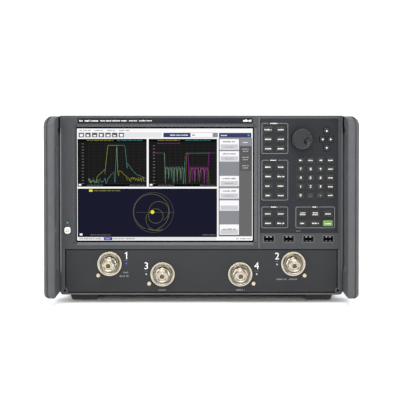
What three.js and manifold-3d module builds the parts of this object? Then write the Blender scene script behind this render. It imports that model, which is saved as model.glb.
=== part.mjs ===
// A four-port vector network analyzer, bench size, in millimetres.
// The front faces -Y, +X is to the right as seen from the front, and +Z is up.
// The origin is on the floor under the middle of the instrument.
import * as THREE from 'three';
import { mergeVertices } from 'three/addons/utils/BufferGeometryUtils.js';
import Module from 'manifold-3d';

const wasm = await Module();
wasm.setup();

// ---- driving dimensions ----------------------------------------------------
const GAP = 0.3; // clearance between pieces that lie against each other

const FRAME = { width: 425.6, height: 270.3, wall: 4.3, roof: 4.1, sill: 2.7, radius: 5 };
const FOOT_HEIGHT = 13;
const FRONT = -267.5; // front plane of the bezel and of the frame's lower part
const FRAME_DEPTH = 43.5;
const BEZEL_THICKNESS = 6.7;
const HANDLE_REACH = 45;
const REAR = 288.8; // outer face of the rear panel
const BUMPER_TIP = 312.5;

const HALF = FRAME.width / 2;
const TOP = FOOT_HEIGHT + FRAME.height;
const BEZEL_BACK = FRONT + BEZEL_THICKNESS;
const FRAME_BACK = FRONT + FRAME_DEPTH;

const PORT_PANEL = { halfWidth: 205.3, bottom: 3, top: 68.5, recess: 1, thickness: 3 };
const WINDOW = { x0: -188.4, x1: 78.9, h0: 79.6, h1: 252.4, bevelWidth: 5, bevelDepth: 4.5 };
const KEYPAD = { x0: 87.9, x1: 205.7, h0: 93.3, h1: 265.4, thickness: 1.5, lip: 1.8 };
const CORNER_BOSS = { x: 205.8, h: 6.2, radius: 4.6, hole: 2, depth: 10 };
const RAIL = { h0: 62, h1: 75, back: FRONT + 17.5 };

const KEY_PROUD = 2.7;
const KEY_CHAMFER = 0.6;
const KEY_CLEARANCE = 0.25;
const KEY_LONG = { width: 13, height: 8.5 };
const KEY_SMALL = { width: 10.4, height: 8.8 };
const KEY_ARROW = { width: 8.5, height: 8.5 };
const KEY_PRESET = { width: 14.9, height: 9.1 };
const ROW_PITCH = 14.3;
const KEY_GROUPS = [
  { name: 'instrument', x: 100.1, h: 249.0, columns: 2, rows: 3, dx: 19.1, dh: ROW_PITCH, key: KEY_LONG },
  { name: 'response', x: 100.1, h: 192.9, columns: 2, rows: 4, dx: 19.1, dh: ROW_PITCH, key: KEY_LONG },
  { name: 'stimulus', x: 100.1, h: 122.5, columns: 2, rows: 2, dx: 19.1, dh: ROW_PITCH, key: KEY_LONG },
  { name: 'number', x: 149.2, h: 203.0, columns: 4, rows: 5, dx: 14.9, dh: 13.2, key: KEY_SMALL },
  { name: 'utility', x: 152.5, h: 122.5, columns: 3, rows: 2, dx: 18.9, dh: ROW_PITCH, key: KEY_LONG },
];
const PRESET = { x: 190.3, h: 108.2 }; // takes the last place of the utility group
const ARROWS = { x: 188.2, h: 234.4, sideways: 6.2, upright: 12.8 };
const KNOB = { x: 150.3, h: 235, radius: 16, reach: 16, shaft: 3 };
const DIMPLE = { right: 8.2, down: 3.4, radius: 7, lift: 4.5 };
const POWER = { x: -201.8, h: 97.2, width: 9.2, height: 10.2, proud: 1.2 };
const USB = { x: 101.6, pitch: 29.83, count: 4, h: 84.3, width: 13.1, height: 5.7, wall: 0.35 };
const USB_TONGUE = { halfWidth: 5.6, low: 0.2, high: 1.9, depth: 8 };
const PANEL_BOARD = { x0: 92, x1: 204, h0: 78, h1: 263, face: FRONT + 11, thickness: 1.6 };
const ENCODER = { half: 6, depth: 6.5, shaftReach: 11.5 };

const PORTS = [
  { number: 1, x: -138.4, h: 46.8 },
  { number: 2, x: 138.4, h: 46.8 },
  { number: 3, x: -58.5, h: 31.0 },
  { number: 4, x: 58.5, h: 31.0 },
];
const FLANGE = { radius: 18.4, bore: 11.6, thickness: 2.9 };
const CONNECTOR = { reach: 22, barrel: 10, collar: 11.3, cavity: 3.4, cavityDepth: 5, pin: 0.9 };

const HANDLE = {
  inner: 213.6,
  outer: 230,
  bottom: 14.5,
  top: 282.3,
  back: -223,
  edge: 3.5,
  topCorner: { side: 15, across: 9.5, high: 14.5 },
  lowCorner: { side: 8, across: 7, high: 9.5 },
};
const FINGER_GAP = { y0: -290, y1: -262, z0: 50, z1: 262, radius: 11 };

const FOOT = { x: 179.6, top: 46.9, bottom: 39, length: 70, frontY: -240, rearY: 190 };
const LEG = { halfWidth: 14.6, length: 50, z: 6.5, barrel: 3.2, plate: 2.2, trunnion: 1.5 };

const COVER = { inset: 0.3, thickness: 1.5, back: 286 };
const VENTS = { slots: 13, pitch: 9, width: 3.4, length: 40, firstY: 128, h: [150, 200] };

const FAN = { x: -130, h: 90, size: 92, depth: 25, bore: 43, hub: 15, blades: 7 };
const BLADE = { thickness: 1.6, chord: 17, span: 28, pitch: 0.75 };
const GRILLE = { radius: 41, rows: 5, pitch: 6.6, slot: 3.8 };
const INLET = { x: 150, h: 42, width: 27, height: 19.8, depth: 25, socketDepth: 16 };
const INLET_FLANGE = { width: 32, height: 24, thickness: 2 };
const INLET_MOUTH = { halfWidth: 12, halfHeight: 8.2, corner: 4.8 };
const DRIVE = { x: 128, h: 186, width: 76, height: 18, depth: 118 };
const DRIVE_PLATE = { thickness: 2.5, sideways: 5, upright: 4 };
const DRIVE_LOOP = { halfWidth: 20, reach: 18, bar: 4, halfHeight: 2.5 };
const BAY = { clearance: 0.8, sheet: 1.2 };
const IO_BAY = { x0: -58, x1: 58, h0: 151, h1: 178 };
const BUMPER = { size: 36, radius: 9, edge: 3, screwHole: 5, screwDepth: 9 };

const TRAY = { halfWidth: 207.5, sheet: 2, rim: 30, front: -250, back: REAR - 2.8 };
const DECK = { halfWidth: 204.8, front: -240, back: 10, z: 34, sheet: 2 };
const COUPLER = { halfWidth: 16, front: -238, back: -170, above: 9, cable: 3 };
const RECEIVERS = { x: [-120, -40, 40, 120], halfWidth: 30, front: -140, back: -20, height: 28 };
const SUPPLY = { x0: 60, x1: 200, front: 20, back: 250, z0: 34, z1: 150 };
const TERMINALS = { x0: 80, x1: 180, front: 15, z0: 60, z1: 80 };
const MAIN_BOARD = { x0: -200, x1: 62, front: -60, thickness: 2 };
const HEAT_SINK = { x0: -150, x1: -90, front: 40, back: 100, base: 6, height: 28, fins: 10, pitch: 6.4 };
const MODULES = { x: [-30, -4, 22], width: 16, front: -40, back: 120, height: 60 };

// ---- materials ---------------------------------------------------------------
function finish(color, roughness, metalness = 0) {
  return new THREE.MeshStandardMaterial({ color, roughness, metalness, flatShading: true });
}

const casting = finish(0x595c60, 0.55);
const moulding = finish(0x5b5f63, 0.5);
const handlePaint = finish(0x6a6b70, 0.45);
const overlayFilm = finish(0x3e4146, 0.5);
const panelPaint = finish(0x454648, 0.5);
const glass = finish(0x101216, 0.12);
const screenMetal = finish(0x9a9c9e, 0.4, 0.8);
const circuitBoard = finish(0x1e5a34, 0.5);
const keyPlastic = finish(0x3a3b3e, 0.6);
const presetGreen = finish(0x7fb05f, 0.5);
const whitePlastic = finish(0xe6e6e2, 0.4);
const knobPlastic = finish(0x4a4b4e, 0.45);
const nickel = finish(0xbdb5a4, 0.3, 0.9);
const coverPaint = finish(0x6b6d70, 0.6);
const bareSteel = finish(0xa9abad, 0.4, 0.8);
const rubber = finish(0x3b3c3e, 0.8);
const blackPlastic = finish(0x1c1d1f, 0.6);

// ---- solids ------------------------------------------------------------------
const up = (h) => FOOT_HEIGHT + h; // height above the frame's underside to height above the floor

function solid(geometry) {
  const bare = geometry.clone();
  bare.deleteAttribute('normal');
  bare.deleteAttribute('uv');
  const merged = mergeVertices(bare);
  const index = merged.index.array;
  const triangles = [];
  for (let i = 0; i < index.length; i += 3) {
    const [a, b, c] = index.slice(i, i + 3);
    if (a !== b && b !== c && c !== a) triangles.push(a, b, c);
  }
  const vertProperties = new Float32Array(merged.attributes.position.array);
  const mesh = new wasm.Mesh({ numProp: 3, vertProperties, triVerts: new Uint32Array(triangles) });
  return new wasm.Manifold(mesh);
}

function box(x0, x1, y0, y1, z0, z1) {
  const geometry = new THREE.BoxGeometry(x1 - x0, y1 - y0, z1 - z0);
  return solid(geometry.translate((x0 + x1) / 2, (y0 + y1) / 2, (z0 + z1) / 2));
}

function roundedRect(x0, x1, z0, z1, radius) {
  const shape = new THREE.Shape();
  shape.absarc(x1 - radius, z1 - radius, radius, 0, Math.PI / 2);
  shape.absarc(x0 + radius, z1 - radius, radius, Math.PI / 2, Math.PI);
  shape.absarc(x0 + radius, z0 + radius, radius, Math.PI, 1.5 * Math.PI);
  shape.absarc(x1 - radius, z0 + radius, radius, 1.5 * Math.PI, 2 * Math.PI);
  return shape;
}

// A shape drawn in X and Z, standing between two depths.
function plate(shape, yFront, yBack, curveSegments = 3) {
  const options = { depth: yBack - yFront, bevelEnabled: false, curveSegments };
  const geometry = new THREE.ExtrudeGeometry(shape, options);
  return solid(geometry.rotateX(Math.PI / 2).translate(0, yBack, 0));
}

// The same with a chamfered front edge of the given size.
function cappedPlate(shape, yFront, yBack, chamfer, curveSegments = 3) {
  const bevel = { bevelThickness: chamfer, bevelSize: chamfer, bevelOffset: -chamfer, bevelSegments: 1 };
  const options = { depth: yBack - yFront - chamfer, curveSegments, ...bevel };
  const geometry = new THREE.ExtrudeGeometry(shape, options);
  const raw = solid(geometry.rotateX(Math.PI / 2).translate(0, yBack, 0));
  return raw.subtract(box(-500, 500, yBack, yBack + 50, -500, 500));
}

// A shape drawn in Y and Z, extruded along X.
function sidePlate(shape, x0, x1, curveSegments = 3) {
  const options = { depth: x1 - x0, bevelEnabled: false, curveSegments };
  const geometry = new THREE.ExtrudeGeometry(shape, options);
  return solid(geometry.rotateX(Math.PI / 2).rotateZ(Math.PI / 2).translate(x0, 0, 0));
}

function rodY(x, z, radius, y0, y1, sides = 28) {
  const geometry = new THREE.CylinderGeometry(radius, radius, y1 - y0, sides);
  return solid(geometry.translate(x, (y0 + y1) / 2, z));
}

function rodX(y, z, radius, x0, x1, sides = 20) {
  const geometry = new THREE.CylinderGeometry(radius, radius, x1 - x0, sides);
  return solid(geometry.rotateZ(Math.PI / 2).translate((x0 + x1) / 2, y, z));
}

// A profile of [radius, y] points, counter-clockwise from the axis, turned about a line along Y.
function turned(profile, x, z, sides = 24) {
  const points = profile.map(([radius, y]) => new THREE.Vector2(radius, y));
  return solid(new THREE.LatheGeometry(points, sides).translate(x, 0, z));
}

function join(...pieces) {
  return pieces.reduce((whole, piece) => whole.add(piece));
}

const analyzer = new THREE.Group();

function node(name, manifold, material) {
  const { vertProperties, triVerts } = manifold.getMesh();
  const geometry = new THREE.BufferGeometry();
  geometry.setAttribute('position', new THREE.BufferAttribute(vertProperties, 3));
  geometry.setIndex(new THREE.BufferAttribute(triVerts, 1));
  geometry.computeVertexNormals();
  const mesh = new THREE.Mesh(geometry, material);
  mesh.name = name;
  analyzer.add(mesh);
}

// ---- keys, as a list that the overlay's holes and the caps share ----------------
function keysOfRow(group, row) {
  const keys = [];
  for (let column = 0; column < group.columns; column += 1) {
    const isPreset = group.name === 'utility' && row === 1 && column === 2;
    if (isPreset) continue;
    keys.push({ x: group.x + column * group.dx, h: group.h - row * group.dh, ...group.key });
  }
  return keys;
}

const presetKey = { ...PRESET, ...KEY_PRESET };
const arrowKeys = {
  arrow_up: { x: ARROWS.x, h: ARROWS.h + ARROWS.upright, ...KEY_ARROW },
  arrow_down: { x: ARROWS.x, h: ARROWS.h - ARROWS.upright, ...KEY_ARROW },
  arrow_left: { x: ARROWS.x - ARROWS.sideways, h: ARROWS.h, ...KEY_ARROW },
  arrow_right: { x: ARROWS.x + ARROWS.sideways, h: ARROWS.h, ...KEY_ARROW },
};

function keyOutline({ x, h, width, height }, margin = 0, radius = 1.4) {
  const halfWidth = width / 2 + margin;
  const halfHeight = height / 2 + margin;
  return roundedRect(x - halfWidth, x + halfWidth, up(h) - halfHeight, up(h) + halfHeight, radius);
}

function keyHole({ x, h, width, height }, y0, y1) {
  const halfWidth = width / 2 + KEY_CLEARANCE;
  const halfHeight = height / 2 + KEY_CLEARANCE;
  return box(x - halfWidth, x + halfWidth, y0, y1, up(h) - halfHeight, up(h) + halfHeight);
}

// ---- front frame: a cast ring with a rail behind the joint of panel and bezel ----
function frontFrame() {
  const outer = roundedRect(-HALF, HALF, FOOT_HEIGHT, TOP, FRAME.radius);
  const inner = HALF - FRAME.wall;
  const ring = plate(outer, FRONT, FRAME_BACK)
    .subtract(box(-inner, inner, FRONT - 1, FRAME_BACK + 1, up(FRAME.sill), TOP - FRAME.roof));
  const rail = box(-inner - 1, inner + 1, BEZEL_BACK + GAP, RAIL.back, up(RAIL.h0), up(RAIL.h1));
  const bezelSeat = box(-HALF - 1, HALF + 1, FRONT - 1, BEZEL_BACK + GAP, up(PORT_PANEL.top), TOP + 1);
  let frame = join(ring, rail).subtract(bezelSeat);
  const { x, h, radius, hole, depth } = CORNER_BOSS;
  for (const side of [-1, 1]) {
    const edges = [side * (PORT_PANEL.halfWidth + GAP), side * (inner + 1)].sort((a, b) => a - b);
    const cheek = box(...edges, FRONT, FRONT + depth, up(FRAME.sill) - 1, up(PORT_PANEL.top));
    const boss = rodY(side * x, up(h), radius, FRONT, FRONT + depth, 20);
    const screwHole = rodY(side * x, up(h), hole, FRONT - 1, FRONT + depth - 2, 16);
    frame = frame.add(cheek).add(boss).subtract(screwHole);
  }
  return frame;
}

// ---- front bezel: window with sloped edges, keypad seat, socket and button holes ----
function windowFunnel() {
  const outline = roundedRect(WINDOW.x0, WINDOW.x1, up(WINDOW.h0), up(WINDOW.h1), 2);
  const bevel = { bevelThickness: WINDOW.bevelDepth, bevelSize: WINDOW.bevelWidth, bevelSegments: 1 };
  const funnel = new THREE.ExtrudeGeometry(outline, { depth: 5, curveSegments: 3, ...bevel });
  return solid(funnel.rotateX(Math.PI / 2).translate(0, FRONT, 0));
}

function frontBezel() {
  const outline = roundedRect(-HALF, HALF, up(PORT_PANEL.top) + GAP, TOP, 1);
  const through = [FRONT - 1, BEZEL_BACK + 1];
  const { x0, x1, h0, h1, lip } = KEYPAD;
  const seat = box(x0, x1, FRONT - 1, FRONT + 0.1 + KEYPAD.thickness + GAP, up(h0), up(h1));
  const keyOpening = box(x0 + lip, x1 - lip, ...through, up(h0) + lip, up(h1) - lip);
  const window = box(WINDOW.x0, WINDOW.x1, ...through, up(WINDOW.h0), up(WINDOW.h1));
  let bezel = plate(outline, FRONT, BEZEL_BACK).subtract(window).subtract(windowFunnel());
  bezel = bezel.subtract(seat).subtract(keyOpening);
  bezel = bezel.subtract(plate(keyOutline(POWER, 0.4), ...through));
  for (let i = 0; i < USB.count; i += 1) {
    const socket = { x: USB.x + i * USB.pitch, h: USB.h, width: USB.width, height: USB.height };
    bezel = bezel.subtract(plate(keyOutline(socket, GAP, 0.5), ...through, 1));
  }
  return bezel;
}

// ---- keypad overlay: a thin plate with a hole for each key ----------------------
function keypadOverlay() {
  const face = FRONT + 0.1;
  const { x0, x1, h0, h1, thickness } = KEYPAD;
  const outline = roundedRect(x0 + GAP, x1 - GAP, up(h0) + GAP, up(h1) - GAP, 1);
  const rowKeys = KEY_GROUPS.flatMap((group) => {
    const rows = Array.from({ length: group.rows }, (_, row) => keysOfRow(group, row));
    return rows.flat();
  });
  const through = [face - 1, face + thickness + 1];
  const keys = [...rowKeys, presetKey, ...Object.values(arrowKeys)];
  const holes = join(...keys.map((key) => keyHole(key, ...through)));
  const shaftHole = rodY(KNOB.x, up(KNOB.h), KNOB.shaft + 1.2, ...through, 20);
  return plate(outline, face, face + thickness, 2).subtract(holes).subtract(shaftHole);
}

// ---- key caps: those of one row share a web behind the overlay -------------------
const KEY_BACK = FRONT + 4.9;
const WEB_BACK = KEY_BACK + 1.4;

function keyCap({ x, h, width, height }) {
  const outline = new THREE.Shape();
  outline.moveTo(x - width / 2, up(h) - height / 2);
  outline.lineTo(x + width / 2, up(h) - height / 2);
  outline.lineTo(x + width / 2, up(h) + height / 2);
  outline.lineTo(x - width / 2, up(h) + height / 2);
  return cappedPlate(outline, FRONT - KEY_PROUD, KEY_BACK + 0.2, KEY_CHAMFER);
}

function keyRow(keys) {
  const first = keys[0];
  const last = keys[keys.length - 1];
  const web = box(first.x - first.width / 2 + 1, last.x + last.width / 2 - 1, KEY_BACK, WEB_BACK,
    up(first.h) - 3.5, up(first.h) + 3.5);
  return join(web, ...keys.map(keyCap));
}

function singleKey(key) {
  const flange = plate(keyOutline(key, 0.8), KEY_BACK, WEB_BACK, 1);
  return join(flange, keyCap(key));
}

// ---- board behind the keypad, with the knob's encoder and the USB sockets ---------
function usbSocket(x) {
  const z = up(USB.h);
  const halfWidth = USB.width / 2;
  const halfHeight = USB.height / 2;
  const [shellFront, shellBack] = [FRONT + GAP, PANEL_BOARD.face + 0.2];
  const shell = box(x - halfWidth, x + halfWidth, shellFront, shellBack, z - halfHeight, z + halfHeight);
  const mouth = box(x - halfWidth + USB.wall, x + halfWidth - USB.wall, FRONT, FRONT + 9,
    z - halfHeight + USB.wall, z + halfHeight - USB.wall);
  const { halfWidth: tongueHalf, low, high, depth } = USB_TONGUE;
  const tongue = box(x - tongueHalf, x + tongueHalf, FRONT + 1.5, FRONT + 1.5 + depth, z + low, z + high);
  return shell.subtract(mouth).add(tongue);
}

function frontPanelBoard() {
  const { x0, x1, h0, h1, face, thickness } = PANEL_BOARD;
  const board = box(x0, x1, face, face + thickness, up(h0), up(h1));
  const { half, depth, shaftReach } = ENCODER;
  const z = up(KNOB.h);
  const encoder = box(KNOB.x - half, KNOB.x + half, face - depth, face + 0.2, z - half, z + half);
  const shaft = rodY(KNOB.x, z, KNOB.shaft, FRONT - shaftReach, face - depth + 0.5, 20);
  const sockets = Array.from({ length: USB.count }, (_, i) => usbSocket(USB.x + i * USB.pitch));
  return join(board, encoder, shaft, ...sockets);
}

// ---- knob: a turned cap on the encoder's shaft, with a dimple for the finger -------
function knob() {
  const { radius, reach, shaft } = KNOB;
  const tip = FRONT - reach;
  const skirt = FRONT - 0.7;
  const bore = shaft + GAP;
  const profile = [[0, tip], [radius - 3.5, tip], [radius - 2.6, tip + 0.6], [radius - 2, tip + 1.8],
    [radius - 1.2, tip + 9], [radius, tip + 13], [radius, skirt], [bore, skirt], [bore, tip + 4.1],
    [0, tip + 4.1]];
  const ball = new THREE.SphereGeometry(DIMPLE.radius, 16, 12);
  const dimple = solid(ball.translate(KNOB.x + DIMPLE.right, tip - DIMPLE.lift, up(KNOB.h) - DIMPLE.down));
  return turned(profile, KNOB.x, up(KNOB.h)).subtract(dimple);
}

function powerButton() {
  const back = BEZEL_BACK + GAP;
  const cap = cappedPlate(keyOutline(POWER, 0, 2.2), FRONT - POWER.proud, back + 0.2, 0.5);
  const flange = plate(keyOutline(POWER, 1.3, 0.5), back, back + 1.2, 1);
  return join(cap, flange);
}

// ---- display ------------------------------------------------------------------
const GLASS_FACE = BEZEL_BACK + GAP;

function touchGlass() {
  const outline = roundedRect(WINDOW.x0 - 2, WINDOW.x1 + 2, up(WINDOW.h0) - 2, up(WINDOW.h1) + 2, 1);
  return plate(outline, GLASS_FACE, GLASS_FACE + 2.6);
}

function lcdModule() {
  const body = box(WINDOW.x0 - 5.6, WINDOW.x1 + 5.1, GLASS_FACE + 2.9, GLASS_FACE + 12, up(77), up(255));
  const driverCover = box(-120, 20, GLASS_FACE + 11.5, GLASS_FACE + 15, up(100), up(180));
  return join(body, driverCover);
}

// ---- port panel, flanges and connectors ------------------------------------------
const PANEL_FACE = FRONT + PORT_PANEL.recess;

function portPanel() {
  const { halfWidth, bottom, top, thickness } = PORT_PANEL;
  const outline = roundedRect(-halfWidth, halfWidth, up(bottom), up(top), 1);
  let panel = plate(outline, PANEL_FACE, PANEL_FACE + thickness);
  for (const port of PORTS) {
    const [y0, y1] = [PANEL_FACE - 1, PANEL_FACE + thickness + 1];
    panel = panel.subtract(rodY(port.x, up(port.h), FLANGE.bore, y0, y1));
  }
  for (const side of [-1, 1]) {
    const clear = CORNER_BOSS.radius + GAP;
    panel = panel.subtract(rodY(side * CORNER_BOSS.x, up(CORNER_BOSS.h), clear, FRONT, FRONT + 10, 20));
  }
  return panel;
}

function portFlange(port) {
  const back = PANEL_FACE - GAP;
  const front = back - FLANGE.thickness;
  const profile = [[FLANGE.bore, front], [FLANGE.radius - 0.8, front], [FLANGE.radius, front + 0.8],
    [FLANGE.radius, back], [FLANGE.bore, back], [FLANGE.bore, front]];
  return turned(profile, port.x, up(port.h));
}

function portConnector(port) {
  const { reach, barrel, collar, cavity, cavityDepth, pin } = CONNECTOR;
  const tip = FRONT - reach;
  const shoulder = FRONT - 6;
  const tail = FRONT + 17;
  const profile = [[0, tip + 1.5], [pin, tip + 1.5], [pin, tip + cavityDepth], [cavity, tip + cavityDepth],
    [cavity, tip], [barrel - 0.6, tip], [barrel, tip + 0.6], [barrel, shoulder], [collar, shoulder + 0.5],
    [collar, FRONT + 8], [4, FRONT + 8], [4, tail], [0, tail]];
  return turned(profile, port.x, up(port.h));
}

// ---- handles: a grip, a finger gap and a strip along the frame's side --------------
function rightHandle() {
  const { inner, outer, bottom, top, back, edge, topCorner, lowCorner } = HANDLE;
  const front = FRONT - HANDLE_REACH;
  const profile = new THREE.Shape();
  profile.moveTo(back, bottom);
  profile.lineTo(back, top);
  profile.lineTo(front + topCorner.side, top);
  profile.absarc(front + topCorner.side, top - topCorner.side, topCorner.side, Math.PI / 2, Math.PI);
  profile.absarc(front + lowCorner.side, bottom + lowCorner.side, lowCorner.side, Math.PI, 1.5 * Math.PI);
  const { y0, y1, z0, z1, radius } = FINGER_GAP;
  profile.holes.push(roundedRect(y0, y1, z0, z1, radius));
  const bevel = { bevelThickness: edge, bevelSize: edge, bevelOffset: -edge, bevelSegments: 1 };
  const options = { depth: outer - inner - 2 * edge, curveSegments: 4, ...bevel };
  const geometry = new THREE.ExtrudeGeometry(profile, options);
  geometry.rotateX(Math.PI / 2).rotateZ(Math.PI / 2);
  const grip = solid(geometry.translate(inner + edge, 0, 0));

  const outline = new THREE.Shape();
  outline.moveTo(inner - 1, bottom - 1);
  outline.lineTo(outer - lowCorner.across, bottom - 1);
  const low = { x: outer - lowCorner.across, z: bottom + lowCorner.high };
  outline.absellipse(low.x, low.z, lowCorner.across, lowCorner.high, -Math.PI / 2, 0);
  const high = { x: outer - topCorner.across, z: top - topCorner.high };
  outline.absellipse(high.x, high.z, topCorner.across, topCorner.high, 0, Math.PI / 2);
  outline.lineTo(outer - topCorner.across, top + 1);
  outline.lineTo(inner - 1, top + 1);
  return grip.intersect(plate(outline, front - 1, back + 1, 5));
}

// ---- feet and tilt legs -----------------------------------------------------------
function footBlock(x, frontY) {
  const outline = new THREE.Shape();
  const height = FOOT_HEIGHT - GAP;
  outline.moveTo(x - FOOT.bottom / 2 + 1.5, 0);
  outline.lineTo(x + FOOT.bottom / 2 - 1.5, 0);
  outline.lineTo(x + FOOT.bottom / 2, 1.5);
  outline.lineTo(x + FOOT.top / 2, height);
  outline.lineTo(x - FOOT.top / 2, height);
  outline.lineTo(x - FOOT.bottom / 2, 1.5);
  return plate(outline, frontY, frontY + FOOT.length);
}

const LEG_AXIS_Y = FOOT.frontY + 8;

function frontFoot(x) {
  const slotHalf = LEG.halfWidth + GAP;
  const slot = box(x - slotHalf, x + slotHalf, LEG_AXIS_Y - 4, FOOT.frontY + FOOT.length + 1, -1, 10.3);
  const bearing = rodX(LEG_AXIS_Y, LEG.z, LEG.trunnion + GAP, x - 18.6, x + 18.6);
  return footBlock(x, FOOT.frontY).subtract(slot).subtract(bearing);
}

function tiltLeg(x) {
  const { halfWidth, length, z, barrel, plate: half, trunnion } = LEG;
  const blade = new THREE.Shape();
  blade.moveTo(LEG_AXIS_Y, z - half);
  blade.lineTo(LEG_AXIS_Y + length - 2, z - half);
  blade.lineTo(LEG_AXIS_Y + length, z);
  blade.lineTo(LEG_AXIS_Y + length - 2, z + half);
  blade.lineTo(LEG_AXIS_Y, z + half);
  return join(
    sidePlate(blade, x - halfWidth, x + halfWidth),
    rodX(LEG_AXIS_Y, z, barrel, x - halfWidth, x + halfWidth),
    rodX(LEG_AXIS_Y, z, trunnion, x - 18, x + 18),
  );
}

// ---- outer cover: a sleeve with vent slots through both sides -----------------------
function ventSlot(y, z) {
  const { width, length } = VENTS;
  return box(-HALF - 1, HALF + 1, y - width / 2, y + width / 2, z - length / 2, z + length / 2);
}

function outerCover() {
  const { inset, thickness, back } = COVER;
  const half = HALF - inset;
  const outer = roundedRect(-half, half, FOOT_HEIGHT + inset, TOP - inset, FRAME.radius - 1);
  const wall = inset + thickness;
  const inner = roundedRect(-HALF + wall, HALF - wall, FOOT_HEIGHT + wall, TOP - wall, FRAME.radius - 2);
  const front = FRAME_BACK + GAP;
  let sleeve = plate(outer, front, back).subtract(plate(inner, front - 1, back + 1));
  for (const h of VENTS.h) {
    for (let i = 0; i < VENTS.slots; i += 1) {
      sleeve = sleeve.subtract(ventSlot(VENTS.firstY + i * VENTS.pitch, up(h)));
    }
  }
  return sleeve;
}

// ---- chassis tray: a channel that carries everything inside --------------------------
function chassisTray() {
  const z = up(FRAME.sill) + GAP;
  const { halfWidth, sheet, rim, front, back } = TRAY;
  const channel = box(-halfWidth, halfWidth, front, back, z, z + rim);
  const hollow = box(-halfWidth + sheet, halfWidth - sheet, front - 1, back + 1, z + sheet, z + rim + 1);
  return channel.subtract(hollow);
}

// ---- rear panel: fan grille, drive bay, connector bay and inlet cut-out --------------
const PANEL_SHEET = 2.5;

function fanGrille(yFront, yBack) {
  const { radius, rows, pitch, slot } = GRILLE;
  const slots = [];
  for (let i = -rows; i <= rows; i += 1) {
    const z = up(FAN.h) + i * pitch;
    const reach = Math.sqrt(radius ** 2 - (Math.abs(i) * pitch + slot / 2) ** 2);
    slots.push(box(FAN.x - reach, FAN.x + reach, yFront, yBack, z - slot / 2, z + slot / 2));
  }
  return join(...slots);
}

function rearPanel() {
  const inside = REAR - PANEL_SHEET;
  const outline = roundedRect(-HALF + COVER.inset, HALF - COVER.inset, FOOT_HEIGHT + COVER.inset,
    TOP - COVER.inset, FRAME.radius - 1);
  const driveZ = up(DRIVE.h);
  const bayWide = DRIVE.width / 2 + BAY.clearance;
  const bayHigh = DRIVE.height / 2 + BAY.clearance;
  const bayFront = REAR - DRIVE.depth - 4;
  const bay = box(DRIVE.x - bayWide - BAY.sheet, DRIVE.x + bayWide + BAY.sheet, bayFront, inside + 0.5,
    driveZ - bayHigh - BAY.sheet, driveZ + bayHigh + BAY.sheet);
  const bayHollow = box(DRIVE.x - bayWide, DRIVE.x + bayWide, bayFront - 1, REAR + 1,
    driveZ - bayHigh, driveZ + bayHigh);
  const through = [inside - 1, REAR + 1];
  const inletHole = box(INLET.x - INLET.width / 2 - GAP, INLET.x + INLET.width / 2 + GAP, ...through,
    up(INLET.h) - INLET.height / 2 - GAP, up(INLET.h) + INLET.height / 2 + GAP);
  const connectorHole = box(IO_BAY.x0 - 1, IO_BAY.x1 + 1, ...through, up(IO_BAY.h0) - 1, up(IO_BAY.h1) + 1);
  return plate(outline, inside, REAR).add(bay).subtract(bayHollow).subtract(inletHole)
    .subtract(connectorHole).subtract(fanGrille(...through));
}

function powerInlet() {
  const { x, width, height, depth, socketDepth } = INLET;
  const z = up(INLET.h);
  const flangeBack = REAR + GAP;
  const flangeFace = flangeBack + INLET_FLANGE.thickness;
  const across = INLET_FLANGE.width / 2;
  const high = INLET_FLANGE.height / 2;
  const outline = roundedRect(x - across, x + across, z - high, z + high, 2);
  const flange = plate(outline, flangeBack, flangeFace);
  const [front, back] = [flangeFace - depth, flangeFace - 1];
  const body = box(x - width / 2, x + width / 2, front, back, z - height / 2, z + height / 2);
  const { halfWidth, halfHeight, corner } = INLET_MOUTH;
  const mouth = new THREE.Shape();
  mouth.moveTo(x - halfWidth, z - halfHeight);
  mouth.lineTo(x + halfWidth, z - halfHeight);
  mouth.lineTo(x + halfWidth, z + halfHeight - corner);
  mouth.lineTo(x + halfWidth - corner, z + halfHeight);
  mouth.lineTo(x - halfWidth + corner, z + halfHeight);
  mouth.lineTo(x - halfWidth, z + halfHeight - corner);
  const socket = plate(mouth, flangeFace - socketDepth, flangeFace + 1);
  const contacts = [[-7, -2], [0, 2], [7, -2]].map(([dx, dz]) => (
    box(x + dx - 1, x + dx + 1, flangeFace - socketDepth - 0.5, flangeFace - 5, z + dz - 2, z + dz + 2)));
  return join(join(flange, body).subtract(socket), ...contacts);
}

// ---- fan -----------------------------------------------------------------------------
const FAN_FRONT = REAR - PANEL_SHEET - GAP - FAN.depth;

function fanFrame() {
  const half = FAN.size / 2;
  const z = up(FAN.h);
  const back = FAN_FRONT + FAN.depth;
  const body = plate(roundedRect(FAN.x - half, FAN.x + half, z - half, z + half, 4), FAN_FRONT, back);
  const strutBack = FAN_FRONT + 2.5;
  const ring = body.subtract(rodY(FAN.x, z, FAN.bore, FAN_FRONT - 1, back + 1, 48));
  const motorSeat = rodY(FAN.x, z, FAN.hub + 2, FAN_FRONT, strutBack, 32);
  const level = box(FAN.x - FAN.bore - 1, FAN.x + FAN.bore + 1, FAN_FRONT, strutBack, z - 2, z + 2);
  const upright = box(FAN.x - 2, FAN.x + 2, FAN_FRONT, strutBack, z - FAN.bore - 1, z + FAN.bore + 1);
  return join(ring, motorSeat, level, upright);
}

function fanRotor() {
  const z = up(FAN.h);
  const y0 = FAN_FRONT + 4;
  const y1 = FAN_FRONT + 22;
  const blades = [];
  const bladeCentre = FAN.hub - 2 + BLADE.span / 2;
  for (let i = 0; i < FAN.blades; i += 1) {
    const blade = new THREE.BoxGeometry(BLADE.thickness, BLADE.chord, BLADE.span);
    blade.rotateZ(BLADE.pitch).translate(0, 0, bladeCentre).rotateY((i * 2 * Math.PI) / FAN.blades);
    blades.push(solid(blade.translate(FAN.x, (y0 + y1) / 2, z)));
  }
  return join(rodY(FAN.x, z, FAN.hub, y0, y1, 32), ...blades);
}

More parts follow.
